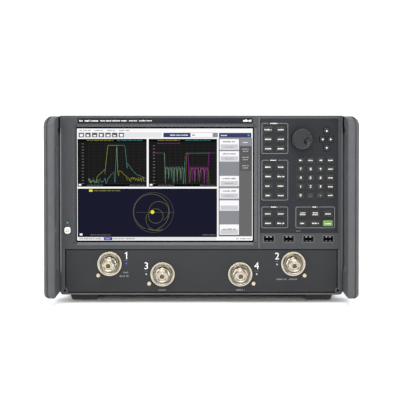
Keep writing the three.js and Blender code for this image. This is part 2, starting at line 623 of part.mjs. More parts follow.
// ---- removable drive: a flat case with a plate and a pull loop at the rear -----------
function driveTray() {
  const z = up(DRIVE.h);
  const halfWidth = DRIVE.width / 2;
  const halfHeight = DRIVE.height / 2;
  const plateBack = REAR + GAP;
  const body = box(DRIVE.x - halfWidth, DRIVE.x + halfWidth, REAR - DRIVE.depth, plateBack + 1,
    z - halfHeight, z + halfHeight);
  const plateFace = plateBack + DRIVE_PLATE.thickness;
  const plateWide = halfWidth + DRIVE_PLATE.sideways;
  const plateHigh = halfHeight + DRIVE_PLATE.upright;
  const face = box(DRIVE.x - plateWide, DRIVE.x + plateWide, plateBack, plateFace,
    z - plateHigh, z + plateHigh);
  const { halfWidth: wide, reach, bar, halfHeight: high } = DRIVE_LOOP;
  const grip = box(DRIVE.x - wide, DRIVE.x + wide, plateFace - 0.5, plateBack + reach, z - high, z + high);
  const finger = box(DRIVE.x - wide + bar, DRIVE.x + wide - bar, plateFace, plateBack + reach - bar,
    z - high - 1, z + high + 1);
  return join(body, face, grip.subtract(finger));
}

// ---- electronics inside ---------------------------------------------------------------
function testSetDeck() {
  const { halfWidth, front, back, z, sheet } = DECK;
  const deck = box(-halfWidth, halfWidth, front, back, z - sheet, z);
  const couplers = PORTS.map((port) => {
    const centre = up(port.h);
    const block = box(port.x - COUPLER.halfWidth, port.x + COUPLER.halfWidth, COUPLER.front, COUPLER.back,
      z - 0.5, centre + COUPLER.above);
    return join(block, rodY(port.x, centre, COUPLER.cable, RAIL.back, COUPLER.front + 1, 16));
  });
  const receivers = RECEIVERS.x.map((x) => (
    box(x - RECEIVERS.halfWidth, x + RECEIVERS.halfWidth, RECEIVERS.front, RECEIVERS.back,
      z - 0.5, z + RECEIVERS.height)));
  return join(deck, ...couplers, ...receivers);
}

function powerSupply() {
  const { x0, x1, front, back, z0, z1 } = SUPPLY;
  const terminals = box(TERMINALS.x0, TERMINALS.x1, TERMINALS.front, front + 1, TERMINALS.z0, TERMINALS.z1);
  return join(box(x0, x1, front, back, z0, z1), terminals);
}

function heatSink(z) {
  const { x0, x1, front, back, base, height, fins, pitch } = HEAT_SINK;
  const blades = Array.from({ length: fins }, (_, i) => {
    const x = x0 + i * pitch;
    return box(x, x + 2, front, back, z + base - 1, z + height);
  });
  return join(box(x0, x1, front, back, z - 0.5, z + base), ...blades);
}

function mainBoard() {
  const z = up(IO_BAY.h0) + 0.5;
  const board = box(MAIN_BOARD.x0, MAIN_BOARD.x1, MAIN_BOARD.front, REAR - 8, z - MAIN_BOARD.thickness, z);
  const connectors = box(IO_BAY.x0, IO_BAY.x1, REAR - 40, REAR - 0.5, up(IO_BAY.h0), up(IO_BAY.h1));
  const modules = MODULES.x.map((x) => (
    box(x, x + MODULES.width, MODULES.front, MODULES.back, z - 0.5, z + MODULES.height)));
  return join(board, connectors, heatSink(z), ...modules);
}

// ---- rear bumpers -----------------------------------------------------------------------
function bumper(sideX, sideZ) {
  const outerX = sideX * (HALF - COVER.inset);
  const outerZ = sideZ > 0 ? TOP - 1 : FOOT_HEIGHT + 1;
  const [x0, x1] = [outerX, outerX - sideX * BUMPER.size].sort((a, b) => a - b);
  const [z0, z1] = [outerZ, outerZ - sideZ * BUMPER.size].sort((a, b) => a - b);
  const outline = roundedRect(x0, x1, z0, z1, BUMPER.radius);
  const { edge, screwHole, screwDepth } = BUMPER;
  const bevel = { bevelThickness: edge, bevelSize: edge, bevelOffset: -edge, bevelSegments: 1 };
  const options = { depth: BUMPER_TIP - REAR - GAP - edge, curveSegments: 3, ...bevel };
  const geometry = new THREE.ExtrudeGeometry(outline, options);
  const raw = solid(geometry.rotateX(Math.PI / 2).translate(0, BUMPER_TIP - edge, 0));
  const block = raw.subtract(box(x0 - 5, x1 + 5, REAR - 5, REAR + GAP, z0 - 5, z1 + 5));
  const [x, z] = [(x0 + x1) / 2, (z0 + z1) / 2];
  return block.subtract(rodY(x, z, screwHole, REAR + screwDepth, BUMPER_TIP + 1, 16));
}

// ---- assembly -----------------------------------------------------------------------------
node('front_frame', frontFrame(), casting);
node('front_bezel', frontBezel(), moulding);
node('keypad_overlay', keypadOverlay(), overlayFilm);
node('port_panel', portPanel(), panelPaint);
node('touch_glass', touchGlass(), glass);
node('lcd_module', lcdModule(), screenMetal);
node('front_panel_board', frontPanelBoard(), circuitBoard);
node('outer_cover', outerCover(), coverPaint);
node('chassis_tray', chassisTray(), bareSteel);
node('rear_panel', rearPanel(), bareSteel);
node('power_supply', powerSupply(), bareSteel);
node('main_board', mainBoard(), circuitBoard);
node('test_set_deck', testSetDeck(), bareSteel);
node('handle_left', rightHandle().mirror([1, 0, 0]), handlePaint);
node('handle_right', rightHandle(), handlePaint);
node('power_inlet', powerInlet(), blackPlastic);
node('fan_frame', fanFrame(), blackPlastic);
node('fan_rotor', fanRotor(), blackPlastic);
node('drive_tray', driveTray(), bareSteel);
node('power_button', powerButton(), whitePlastic);
node('knob', knob(), knobPlastic);
node('preset_key', singleKey(presetKey), presetGreen);

for (const [name, key] of Object.entries(arrowKeys)) node(name, singleKey(key), keyPlastic);

for (const group of KEY_GROUPS) {
  for (let row = 0; row < group.rows; row += 1) {
    node(`${group.name}_row_${row + 1}`, keyRow(keysOfRow(group, row)), keyPlastic);
  }
}

for (const port of PORTS) {
  node(`port_flange_${port.number}`, portFlange(port), nickel);
  node(`port_connector_${port.number}`, portConnector(port), nickel);
}

for (const [sideName, side] of [['left', -1], ['right', 1]]) {
  const x = side * FOOT.x;
  node(`foot_front_${sideName}`, frontFoot(x), rubber);
  node(`tilt_leg_${sideName}`, tiltLeg(x), blackPlastic);
  node(`foot_rear_${sideName}`, footBlock(x, FOOT.rearY), rubber);
  node(`bumper_top_${sideName}`, bumper(side, 1), rubber);
  node(`bumper_bottom_${sideName}`, bumper(side, -1), rubber);
}

export default analyzer;
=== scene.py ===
"""A four-port vector network analyzer: the looks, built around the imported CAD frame.

Lengths in this script are millimetres in the frame's own axes: the front faces -Y, +X is to
the right, +Z is up. They are turned into metres where a mesh is made.
"""
import math
import random

import bmesh
import bpy
from mathutils import Matrix, Vector


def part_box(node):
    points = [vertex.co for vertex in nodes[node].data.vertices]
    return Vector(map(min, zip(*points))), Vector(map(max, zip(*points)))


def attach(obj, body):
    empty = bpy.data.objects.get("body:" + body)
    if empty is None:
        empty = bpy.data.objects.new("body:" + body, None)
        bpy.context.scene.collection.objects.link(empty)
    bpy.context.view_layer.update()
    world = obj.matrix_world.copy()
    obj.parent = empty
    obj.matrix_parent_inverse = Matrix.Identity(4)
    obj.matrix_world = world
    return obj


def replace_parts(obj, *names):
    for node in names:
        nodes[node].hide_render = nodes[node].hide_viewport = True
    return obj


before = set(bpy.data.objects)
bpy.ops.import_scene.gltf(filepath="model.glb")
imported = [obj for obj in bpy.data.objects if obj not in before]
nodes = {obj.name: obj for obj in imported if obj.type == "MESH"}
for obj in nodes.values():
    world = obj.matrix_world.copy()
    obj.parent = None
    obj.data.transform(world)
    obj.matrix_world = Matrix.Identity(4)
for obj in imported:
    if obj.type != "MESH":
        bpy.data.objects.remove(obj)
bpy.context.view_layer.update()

MM = 0.001
BODY = "instrument_body"


def span(node):
    """Lowest and highest corner of a CAD node, in millimetres."""
    low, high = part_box(node)
    return Vector(low) / MM, Vector(high) / MM


def middle_of(node):
    low, high = span(node)
    return (low + high) / 2


BEZEL_HIGH = span("front_bezel")[1]
FRAME_LOW, FRAME_HIGH = span("front_frame")
PANEL_LOW, PANEL_HIGH = span("port_panel")
GLASS_LOW, GLASS_HIGH = span("touch_glass")
OVERLAY_LOW = span("keypad_overlay")[0]
COVER_HIGH = span("outer_cover")[1]
REAR_LOW, REAR_HIGH = span("rear_panel")
FRONT = FRAME_LOW.y
GLASS = GLASS_LOW.y
FLOOR_TO_FRAME = FRAME_LOW.z


def up(height):
    """Height above the frame's underside to height above the floor."""
    return FLOOR_TO_FRAME + height


# ---- materials ----

def linear(red, green, blue):
    """A screen colour, 0 to 255 a channel, as linear light."""
    def channel(value):
        value /= 255
        return value / 12.92 if value <= 0.04045 else ((value + 0.055) / 1.055) ** 2.4
    return (channel(red), channel(green), channel(blue), 1)


def shaded(color, factor):
    return (color[0] * factor, color[1] * factor, color[2] * factor, 1)


# The part of a noise's range that carries most of its values.
NOISE_RANGE = (0.3, 0.7)
MAP_INPUTS = ("From Min", "From Max", "To Min", "To Max")


class Nodes:
    """A short way to write a material's node tree."""

    def __init__(self, name):
        self.material = bpy.data.materials.new(name)
        self.material.use_nodes = True
        self.tree = self.material.node_tree
        self.shader = self.tree.nodes["Principled BSDF"]
        coordinates = self.tree.nodes.new("ShaderNodeTexCoord")
        self.place = coordinates.outputs["Object"]

    def link(self, output, target):
        self.tree.links.new(output, target)

    def noise(self, scale, detail=3.0, stretch=None):
        node = self.tree.nodes.new("ShaderNodeTexNoise")
        node.inputs["Scale"].default_value = scale
        node.inputs["Detail"].default_value = detail
        place = self.place
        if stretch:
            mapping = self.tree.nodes.new("ShaderNodeMapping")
            mapping.inputs["Scale"].default_value = stretch
            self.link(place, mapping.inputs["Vector"])
            place = mapping.outputs["Vector"]
        self.link(place, node.inputs["Vector"])
        return node.outputs["Fac"]

    def ramp(self, source, low, high):
        node = self.tree.nodes.new("ShaderNodeValToRGB")
        for element, place, color in zip(node.color_ramp.elements, NOISE_RANGE, (low, high)):
            element.position = place
            element.color = color
        self.link(source, node.inputs["Fac"])
        return node.outputs["Color"]

    def spread(self, source, low, high):
        node = self.tree.nodes.new("ShaderNodeMapRange")
        for key, value in zip(MAP_INPUTS, (*NOISE_RANGE, low, high)):
            node.inputs[key].default_value = value
        self.link(source, node.inputs["Value"])
        return node.outputs["Result"]

    def bump(self, source, strength, distance):
        node = self.tree.nodes.new("ShaderNodeBump")
        node.inputs["Strength"].default_value = strength
        node.inputs["Distance"].default_value = distance * MM
        self.link(source, node.inputs["Height"])
        self.link(node.outputs["Normal"], self.shader.inputs["Normal"])


def finish(name, color, roughness, variation, metallic=0.0, specular=0.28, mottle=60,
           grain=(900, 0), streaks=None):
    """A surface with slow colour variation, uneven gloss and a fine grain of a (scale, depth)."""
    tree = Nodes(name)
    shader = tree.shader
    shader.inputs["Metallic"].default_value = metallic
    shader.inputs["Specular IOR Level"].default_value = specular
    cloud = tree.noise(mottle, 4, streaks)
    tree.link(tree.ramp(cloud, shaded(color, 1 - variation), shaded(color, 1 + variation)),
              shader.inputs["Base Color"])
    grain_scale, grain_depth = grain
    fine = tree.noise(grain_scale, 2, streaks)
    tree.link(tree.spread(fine, roughness - 0.06, roughness + 0.06), shader.inputs["Roughness"])
    if grain_depth:
        tree.bump(fine, 0.6, grain_depth)
    return tree.material


def glowing(name, color, strength=1.0):
    """A lit part of the display, with the faint unevenness of a panel's backlight."""
    tree = Nodes(name)
    shader = tree.shader
    shader.inputs["Base Color"].default_value = (0.001, 0.001, 0.001, 1)
    shader.inputs["Roughness"].default_value = 0.35
    shader.inputs["Specular IOR Level"].default_value = 0.0
    cloud = tree.noise(14, 2)
    tree.link(tree.ramp(cloud, shaded(color, 0.985), shaded(color, 1.0)), shader.inputs["Emission Color"])
    shader.inputs["Emission Strength"].default_value = strength
    return tree.material


# Each finish has its name, colour, roughness and colour variation; a metal has its metallic share next.
CASTING = finish("casting_paint", linear(55, 56, 58), 0.4, 0.08, grain=(1500, 0.05))
MOULDING = finish("bezel_moulding", linear(45, 47, 50), 0.45, 0.05, specular=0.22, grain=(2200, 0.04))
HANDLE = finish("handle_paint", linear(67, 68, 70), 0.42, 0.05, specular=0.12, grain=(1400, 0.03))
OVERLAY = finish("overlay_film", linear(27, 29, 33), 0.5, 0.05, specular=0.12, grain=(3000, 0.02))
PANEL = finish("panel_paint", linear(34, 35, 37), 0.5, 0.03, specular=0.16, grain=(2600, 0.03))
# A lighter copy of the frame and bezel paint for chamfers, beads and ridges: painted highlight.
EDGE_HIGHLIGHT_PAINT = finish("painted_highlight_edge", linear(66, 68, 70), 0.4, 0.04)
# A still lighter copy of the edge paint, for the left frame bead only: a brighter painted highlight on the
# side the light comes from.
LEFT_EDGE_HIGHLIGHT_PAINT = finish("brighter_painted_highlight_edge", linear(92, 94, 96), 0.4, 0.04)
STRIP = finish("name_strip", linear(8, 13, 19), 0.5, 0.04, specular=0.15, mottle=30)
KEY = finish("key_rubber", linear(24, 25, 27), 0.5, 0.08, grain=(2500, 0.03))
GREEN_KEY = finish("preset_key_rubber", linear(84, 112, 58), 0.5, 0.05, grain=(2500, 0.03))
KNOB = finish("knob_plastic", linear(19, 20, 22), 0.3, 0.05, grain=(1800, 0.03))
PRINT = finish("white_print", linear(205, 206, 206), 0.6, 0.02)
LEGEND = finish("legend_print", linear(186, 185, 178), 0.6, 0.03)
BORDER_PAINT = finish("border_paint", linear(47, 50, 52), 0.4, 0.04, grain=(1500, 0.04))
GREY_PRINT = finish("grey_print", linear(92, 93, 97), 0.6, 0.03)
FAINT_PRINT = finish("faint_print", linear(108, 109, 110), 0.6, 0.03)
DIM_PRINT = finish("dim_print", linear(100, 100, 100), 0.6, 0.03)
# A lighter ring on the overlay round each key: a painted highlight standing for the keys' lit top edges.
KEY_EDGE_HIGHLIGHT = finish("key_edge_painted_highlight", linear(62, 62, 58), 0.6, 0.03)
NICKEL = finish("nickel_plating", linear(154, 148, 136), 0.19, 0.07, 1.0, mottle=90, grain=(1200, 0))
# A darker copy of the nickel: painted shade in the flange's groove and on the lower spring tabs of the
# sockets.
SHADED_NICKEL = finish("nickel_painted_shade", linear(120, 112, 98), 0.35, 0.1, 1.0, mottle=90)
CREAM_METAL = finish("cream_metal", linear(172, 160, 140), 0.35, 0.05, 0.6, mottle=200)
GOLD = finish("gold_contact", linear(104, 82, 46), 0.3, 0.08, 1.0, mottle=200)
STEEL = finish("zinc_steel", linear(150, 152, 152), 0.34, 0.08, 0.9, mottle=45, grain=(800, 0),
               streaks=(1, 1, 8))
SHELL_STEEL = finish("socket_steel", linear(160, 160, 156), 0.3, 0.08, 1.0, mottle=300)
ALUMINIUM = finish("inner_aluminium", linear(150, 151, 152), 0.4, 0.06, 0.9, mottle=40, streaks=(6, 1, 1))
COVER = finish("cover_paint", linear(66, 67, 69), 0.55, 0.04, mottle=25, grain=(900, 0.12))
BLACK = finish("black_plastic", linear(14, 15, 16), 0.45, 0.12, mottle=70, grain=(1500, 0.03))
# Deep black without reflection: the black gasket and the insides of holes and sockets, and painted shadow in
# the line round the port panel and in the gaps beside the handles.
DEEP_BLACK = finish("black_and_painted_shadow", linear(5, 5, 6), 0.9, 0.15, specular=0.0)
# Lighter grey for the rim of each socket surround: a painted highlight of its edge.
SOCKET_RIM_HIGHLIGHT = finish("socket_rim_painted_highlight", linear(98, 99, 97), 0.4, 0.04)
SOCKET_FIELD = finish("socket_field", linear(13, 13, 13), 0.6, 0.1, specular=0.05)
RUBBER = finish("foot_rubber", linear(60, 60, 59), 0.7, 0.07, specular=0.08, mottle=80, grain=(1500, 0.06))
BUMPER = finish("bumper_rubber", linear(32, 33, 34), 0.6, 0.07, mottle=80, grain=(1500, 0.06))
WHITE_PLASTIC = finish("white_plastic", linear(205, 204, 198), 0.35, 0.03, mottle=120)
BOARD = finish("circuit_board", linear(20, 64, 38), 0.4, 0.18, mottle=260, grain=(1800, 0))
GLASS_BLACK = finish("glass_border", linear(3, 3, 4), 0.25, 0.05, specular=0.03)
LED_OFF = finish("clear_lamp", linear(150, 150, 156), 0.25, 0.03)
LED_GREEN = glowing("green_lamp", linear(96, 214, 84), 0.9)
LED_BLUE = glowing("blue_lamp", linear(112, 116, 236), 0.9)


# ---- meshes ----

def place_object(name, data):
    """A new object of some data, linked into the scene."""
    thing = bpy.data.objects.new(name, data)
    bpy.context.scene.collection.objects.link(thing)
    return thing


def curve_mesh(curve):
    """The mesh that Blender makes of a curve or a text."""
    holder = place_object(curve.name, curve)
    bpy.context.view_layer.update()
    mesh = bpy.data.meshes.new_from_object(holder.evaluated_get(bpy.context.evaluated_depsgraph_get()))
    bpy.data.objects.remove(holder)
    return mesh


def rounded_rect(x0, x1, z0, z1, radius, steps=5):
    """Corner points of a rounded rectangle in X and Z, counter-clockwise from the right side."""
    points = []
    corners = ((x1, z1, 0), (x0, z1, 90), (x0, z0, 180), (x1, z0, 270))
    for x, z, start in corners:
        centre_x = x - math.copysign(radius, x - (x0 + x1) / 2)
        centre_z = z - math.copysign(radius, z - (z0 + z1) / 2)
        for step in range(steps + 1):
            angle = math.radians(start + 90 * step / steps)
            points.append((centre_x + radius * math.cos(angle), centre_z + radius * math.sin(angle)))
    return points


def circle(x, z, radius, steps=48):
    angles = [2 * math.pi * step / steps for step in range(steps)]
    return [(x + radius * math.cos(angle), z + radius * math.sin(angle)) for angle in angles]


def centred(x, z, width, height):
    """The sides of a box around a point: left, right, bottom, top."""
    return x - width / 2, x + width / 2, z - height / 2, z + height / 2


def grown(box, by, radius):
    """A rounded rectangle, larger than a box by the given amount on every side."""
    x0, x1, z0, z1 = box
    return x0 - by, x1 + by, z0 - by, z1 + by, radius


def raised(face, profile):
    """A profile whose depths are counted from a face."""
    return [(reach, face + depth) for reach, depth in profile]


def at_depth(outline, y):
    return [(x, y, z) for x, z in outline]


class Solid:
    """Collects closed shapes, in millimetres, and makes one object of them."""

    def __init__(self):
        self.points = []
        self.faces = []
        self.slots = []
        self.pose = Matrix.Identity(4)

    def take(self, points):
        """Adds points, set into place by the current pose."""
        self.points.extend(tuple(self.pose @ Vector(point)) for point in points)

    def loft(self, rings, slot=0, closed_ends=True):
        """Skins rings of equal length, the first at the front, and caps both ends."""
        start = len(self.points)
        count = len(rings[0])
        for ring in rings:
            self.take(ring)
        for level in range(len(rings) - 1):
            near = start + level * count
            far = near + count
            for i in range(count):
                j = (i + 1) % count
                self.faces.append((near + i, far + i, far + j, near + j))
        if closed_ends:
            self.faces.append(tuple(start + i for i in range(count)))
            last = start + (len(rings) - 1) * count
            self.faces.append(tuple(last + i for i in reversed(range(count))))
        self.slots.extend([slot] * (len(self.faces) - len(self.slots)))

    def stack(self, levels, slot=0):
        """Skins flat (outline, y) levels, front to back."""
        self.loft([at_depth(outline, y) for outline, y in levels], slot)

    def closed(self, levels, slot=0):
        """Skins (outline, y) levels whose last meets the first again, so that a hole stays open."""
        rings = [at_depth(outline, y) for outline, y in levels]
        self.loft(rings + rings[:1], slot, closed_ends=False)

    def slab(self, x0, x1, z0, z1, y0, y1, slot=0):
        outline = [(x1, z1), (x0, z1), (x0, z0), (x1, z0)]
        self.stack([(outline, y0), (outline, y1)], slot)

    def cushion(self, x0, x1, z0, z1, radius, profile, slot=0, steps=5):
        """A rounded rectangle whose (inset, y) profile gives its edge, front to back."""
        self.stack([(rounded_rect(x0 + inset, x1 - inset, z0 + inset, z1 - inset,
                                  max(radius - inset, 0.05), steps), y) for inset, y in profile], slot)

    def turned(self, x, z, profile, steps=64, slot=0):
        """A (radius, y) profile, front to back, turned about an axis along Y."""
        self.stack([(circle(x, z, radius, steps), y) for radius, y in profile], slot)

    def hoop(self, x, z, profile, steps=64, slot=0):
        """A closed (radius, y) profile turned about an axis along Y: a ring with a hole."""
        self.closed([(circle(x, z, radius, steps), y) for radius, y in profile], slot)

    def ring(self, outside, inside, y0, y1, slot=0):
        """A flat ring between two rounded rectangles, each given as (x0, x1, z0, z1, radius)."""
        outer, inner = rounded_rect(*outside), rounded_rect(*inside)
        self.closed([(outer, y1), (outer, y0), (inner, y0), (inner, y1)], slot)

    def ribbon(self, path, width, y0, y1, slot=0):
        """A flat line of the given width along points in X and Z."""
        start = len(self.points)
        for i, (x, z) in enumerate(path):
            before = path[max(i - 1, 0)]
            after = path[min(i + 1, len(path) - 1)]
            dx, dz = after[0] - before[0], after[1] - before[1]
            length = math.hypot(dx, dz) or 1
            nx, nz = -dz / length * width / 2, dx / length * width / 2
            self.take((x + side * nx, y, z + side * nz) for y in (y0, y1) for side in (1, -1))
        for i in range(len(path) - 1):
            a = start + 4 * i
            b = a + 4
            self.faces.extend([(a, a + 1, b + 1, b), (a + 3, a + 2, b + 2, b + 3),
                               (a + 2, a, b, b + 2), (a + 1, a + 3, b + 3, b + 1)])
        last = start + 4 * (len(path) - 1)
        self.faces.extend([(start + 1, start, start + 2, start + 3), (last, last + 1, last + 3, last + 2)])
        self.slots.extend([slot] * (len(self.faces) - len(self.slots)))

    def add_mesh(self, mesh):
        """Takes in a Blender mesh whose points are already in millimetres."""
        start = len(self.points)
        self.take(vertex.co for vertex in mesh.vertices)
        self.faces.extend(tuple(start + i for i in polygon.vertices) for polygon in mesh.polygons)
        self.slots.extend([0] * (len(self.faces) - len(self.slots)))

    def make(self, name, materials, body=BODY, slot=None, sharp=35):
        mesh = bpy.data.meshes.new(name)
        mesh.from_pydata([(x * MM, y * MM, z * MM) for x, y, z in self.points], [], self.faces)
        for material in materials:
            mesh.materials.append(material)
        for polygon, index in zip(mesh.polygons, self.slots):
            polygon.material_index = index
            polygon.use_smooth = True
        mesh.set_sharp_from_angle(angle=math.radians(sharp))
        mesh.update()
        piece = place_object(name, mesh)
        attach(piece, body)
        return piece


def figures(text, x, z, height, y, depth=0.15, weight=0.0):
    """Printed figures, centred on (x, z), standing a little proud of the face at y."""
    curve = bpy.data.curves.new("figures", "FONT")
    curve.body = text
    curve.size = height / 0.7
    curve.align_x = "CENTER"
    curve.align_y = "CENTER"
    curve.extrude = depth / 2
    curve.offset = weight
    curve.resolution_u = 3
    mesh = curve_mesh(curve)
    mesh.transform(Matrix.Translation((x, y, z)) @ Matrix.Rotation(math.radians(90), 4, "X"))
    return mesh


def printed(solid, outline, face):
    """A printed shape that stands a little proud of its face."""
    solid.stack([(outline, face - 0.12), (outline, face + 0.02)])


def word_bars(solid, x, z, width, height, y, slot=0, seed=0, proud=0.12):
    """A row of small strokes in groups, which stands for a few printed words."""
    draw = random.Random(seed)
    left, right = x - width / 2, x + width / 2
    letters = draw.randint(4, 8)
    while left < right - 0.2 * height:
        stroke = min(draw.uniform(0.45, 0.8) * height, right - left)
        top = z + height / 2 - draw.choice((0, 0.2, 0.25)) * height
        solid.slab(left, left + stroke, z - height / 2, top, y - proud, y, slot)
        letters -= 1
        left += stroke + (0.22 if letters else 0.9) * height
        if not letters:
            letters = draw.randint(3, 8)


SHARP_ANGLE = math.radians(35)


def dress(node, material, bevel=0.4, segments=2):
    """Keeps a CAD node, softens its edges and gives it its material."""
    piece = nodes[node]
    weld = piece.modifiers.new("weld", "WELD")
    weld.merge_threshold = 1e-5
    if bevel:
        flat = piece.modifiers.new("flat", "DECIMATE")
        flat.decimate_type = "DISSOLVE"
        flat.angle_limit = math.radians(1)
        edge = piece.modifiers.new("edge", "BEVEL")
        edge.width = bevel * MM
        edge.segments = segments
        edge.limit_method = "ANGLE"
        edge.angle_limit = SHARP_ANGLE
        edge.harden_normals = True
    for index in range(len(piece.material_slots)):
        piece.material_slots[index].material = material


# ---- camera, light and floor ----

CAMERA_DISTANCE = 1350
CAMERA_HEIGHT = 282.5
CAMERA_DIP = 1.0
FOCAL_LENGTH = 80.8
HORIZON_SHIFT = -0.1708
FLOOR_WHITE = (0.93, 0.93, 0.93, 1)
FLOOR_REACH = 9000


def make_camera():
    data = bpy.data.cameras.new("camera")
    data.lens = FOCAL_LENGTH
    data.sensor_width = 36
    data.shift_x = -0.0035
    data.shift_y = HORIZON_SHIFT
    data.clip_start = 0.05
    data.clip_end = 50
    camera = place_object("camera", data)
    camera.location = (0, (FRONT - CAMERA_DISTANCE) * MM, CAMERA_HEIGHT * MM)
    camera.rotation_euler = (math.radians(90 - CAMERA_DIP), 0, 0)
    bpy.context.scene.camera = camera


def area_light(name, place, target, size, power):
    data = bpy.data.lights.new(name, "AREA")
    data.shape = "RECTANGLE"
    data.size, data.size_y = size
    data.energy = power
    light = place_object(name, data)
    light.location = place
    light.rotation_mode = "QUATERNION"
    light.rotation_quaternion = (Vector(target) - Vector(place)).to_track_quat("-Z", "Y")


def sky_light(strength, spread_angle):
    """Broad light from straight above, which keeps the floor white."""
    data = bpy.data.lights.new("ceiling", "SUN")
    data.energy = strength
    data.angle = math.radians(spread_angle)
    place_object("ceiling", data).location = (0, 0, 3)


def make_world():
    """A white studio, dimmer on the side where the camera stands."""
    world = bpy.data.worlds.new("studio")
    world.use_nodes = True
    tree = world.node_tree
    background = tree.nodes["Background"]
    background.inputs["Color"].default_value = (1, 1, 1, 1)
    direction = tree.nodes.new("ShaderNodeTexCoord")
    axes = tree.nodes.new("ShaderNodeSeparateXYZ")
    tree.links.new(direction.outputs["Generated"], axes.inputs["Vector"])
    fade = tree.nodes.new("ShaderNodeMapRange")
    fade.interpolation_type = "SMOOTHSTEP"
    for key, value in zip(MAP_INPUTS, (-0.8, 0.1, 0.25, 1.5)):
        fade.inputs[key].default_value = value
    tree.links.new(axes.outputs["Y"], fade.inputs["Value"])
    tree.links.new(fade.outputs["Result"], background.inputs["Strength"])
    bpy.context.scene.world = world


def make_studio():
    make_world()
    bpy.context.scene.view_settings.view_transform = "Standard"
    sky_light(2.4, 50)
    area_light("front_high", (-0.4, -2.1, 1.9), (0, -0.2, 0.0), (2.8, 1.2), 66)
    area_light("left_key", (-2.6, -1.4, 0.9), (0, -0.27, 0.15), (0.7, 1.4), 25)
    area_light("front_low", (0.0, -2.8, 0.8), (0, -0.2, 0.0), (3.0, 0.5), 34)
    area_light("right_key", (2.6, -1.2, 0.4), (0, -0.27, 0.15), (0.5, 1.2), 20)
    floor_solid = Solid()
    floor_solid.slab(-FLOOR_REACH, FLOOR_REACH, -40, -0.4, -FLOOR_REACH, FLOOR_REACH)
    floor_paint = finish("floor_paint", FLOOR_WHITE, 0.8, 0.005, mottle=2)
    floor_solid.make("floor", [floor_paint])


make_camera()
make_studio()


# ---- front frame, bezel and panels ----

# Boxes on the front: left, right, bottom, top.
WINDOW = (-188.4, 78.9, up(79.6), up(252.4))
GASKET = (-189.8, 79.4, up(79.1), up(252.9))
PICTURE = (-188.2, 77.6, up(80.9), up(251.1))
STRIP_BOX = (-186.5, 77.5, up(258.2), up(266.9))
RIDGE_X = 86.9


def mirrored(half, crest):
    """The section of a bead: one half, its crest, and the same half on the other side."""
    return half + [crest] + [(-across, y) for across, y in reversed(half)]


def make_seams():
    """A painted shadow line round the port panel, the display's black gasket, and the window chamfer, the
    sill's bead and the frame's edge beads in lighter paint as painted highlights.
    """
    panel = (PANEL_LOW.x, PANEL_HIGH.x, PANEL_LOW.z, PANEL_HIGH.z)
    # A black ring at the port panel's edge: painted shadow of the gap between panel and frame.
    shadow_line = Solid()
    shadow_line.ring(grown(panel, 0, 0.6), grown(panel, -1.1, 0.5), PANEL_LOW.y - 0.05, PANEL_LOW.y + 0.3)
    shadow_line.make("port_panel_painted_shadow", [DEEP_BLACK], slot="black_plastic")

    outer = rounded_rect(*GASKET, 2.0)
    middle = rounded_rect(*grown(WINDOW, 0.05, 1.6))
    inner = rounded_rect(*PICTURE, 1.2)
    gasket = Solid()
    gasket.closed([(outer, FRONT + 4.6), (outer, FRONT + 3.4), (middle, FRONT + 4.0),
                   (inner, GLASS - 0.6), (inner, GLASS - 0.02)])
    gasket.make("window_gasket", [DEEP_BLACK], slot="black_plastic")

    # The window chamfer in the lighter edge paint: a painted highlight on the bevel.
    outer = rounded_rect(*grown(WINDOW, 4.5, 4.6))
    inner = rounded_rect(*grown(GASKET, -0.1, 2.2))
    lining = Solid()
    lining.closed([(outer, FRONT + 0.6), (outer, FRONT + 0.35), (inner, FRONT + 4.0), (inner, FRONT + 4.3)])
    lining.make("window_chamfer", [EDGE_HIGHLIGHT_PAINT], slot="moulding")

    # A bead along the sill in the lighter edge paint: a painted highlight on the frame's lower lip.
    sill_middle = up(0.95)
    bead = Solid()
    profile = mirrored([(0.9, 0.2), (0.8, -0.35), (0.45, -0.65)], (0, -0.75))
    bead.loft([[(x, FRONT + y, sill_middle + z) for z, y in profile] for x in (PANEL_HIGH.x, PANEL_LOW.x)])
    bead.make("sill_bead", [EDGE_HIGHLIGHT_PAINT], slot="casting")

    # Beads along the frame's sides in the lighter edge paint, the left one in the still lighter copy: painted
    # highlights, brightest on the side the light comes from.
    edges = Solid()
    quarter = [(0, -0.6), (0.5, -0.5), (0.95, -0.15), (1.1, 0.4), (-1.1, 0.4), (-0.5, -0.5)]
    for side in (-1, 1):
        x = side * (FRAME_HIGH.x - 1.15)
        section = [(x + side * dx, FRONT + dy) for dx, dy in quarter][::side]
        slot = 1 if side < 0 else 0
        edges.loft([[(px, py, z) for px, py in section] for z in (up(34), up(252))], slot)
    edges.make("frame_edge_beads", [EDGE_HIGHLIGHT_PAINT, LEFT_EDGE_HIGHLIGHT_PAINT], slot="casting")


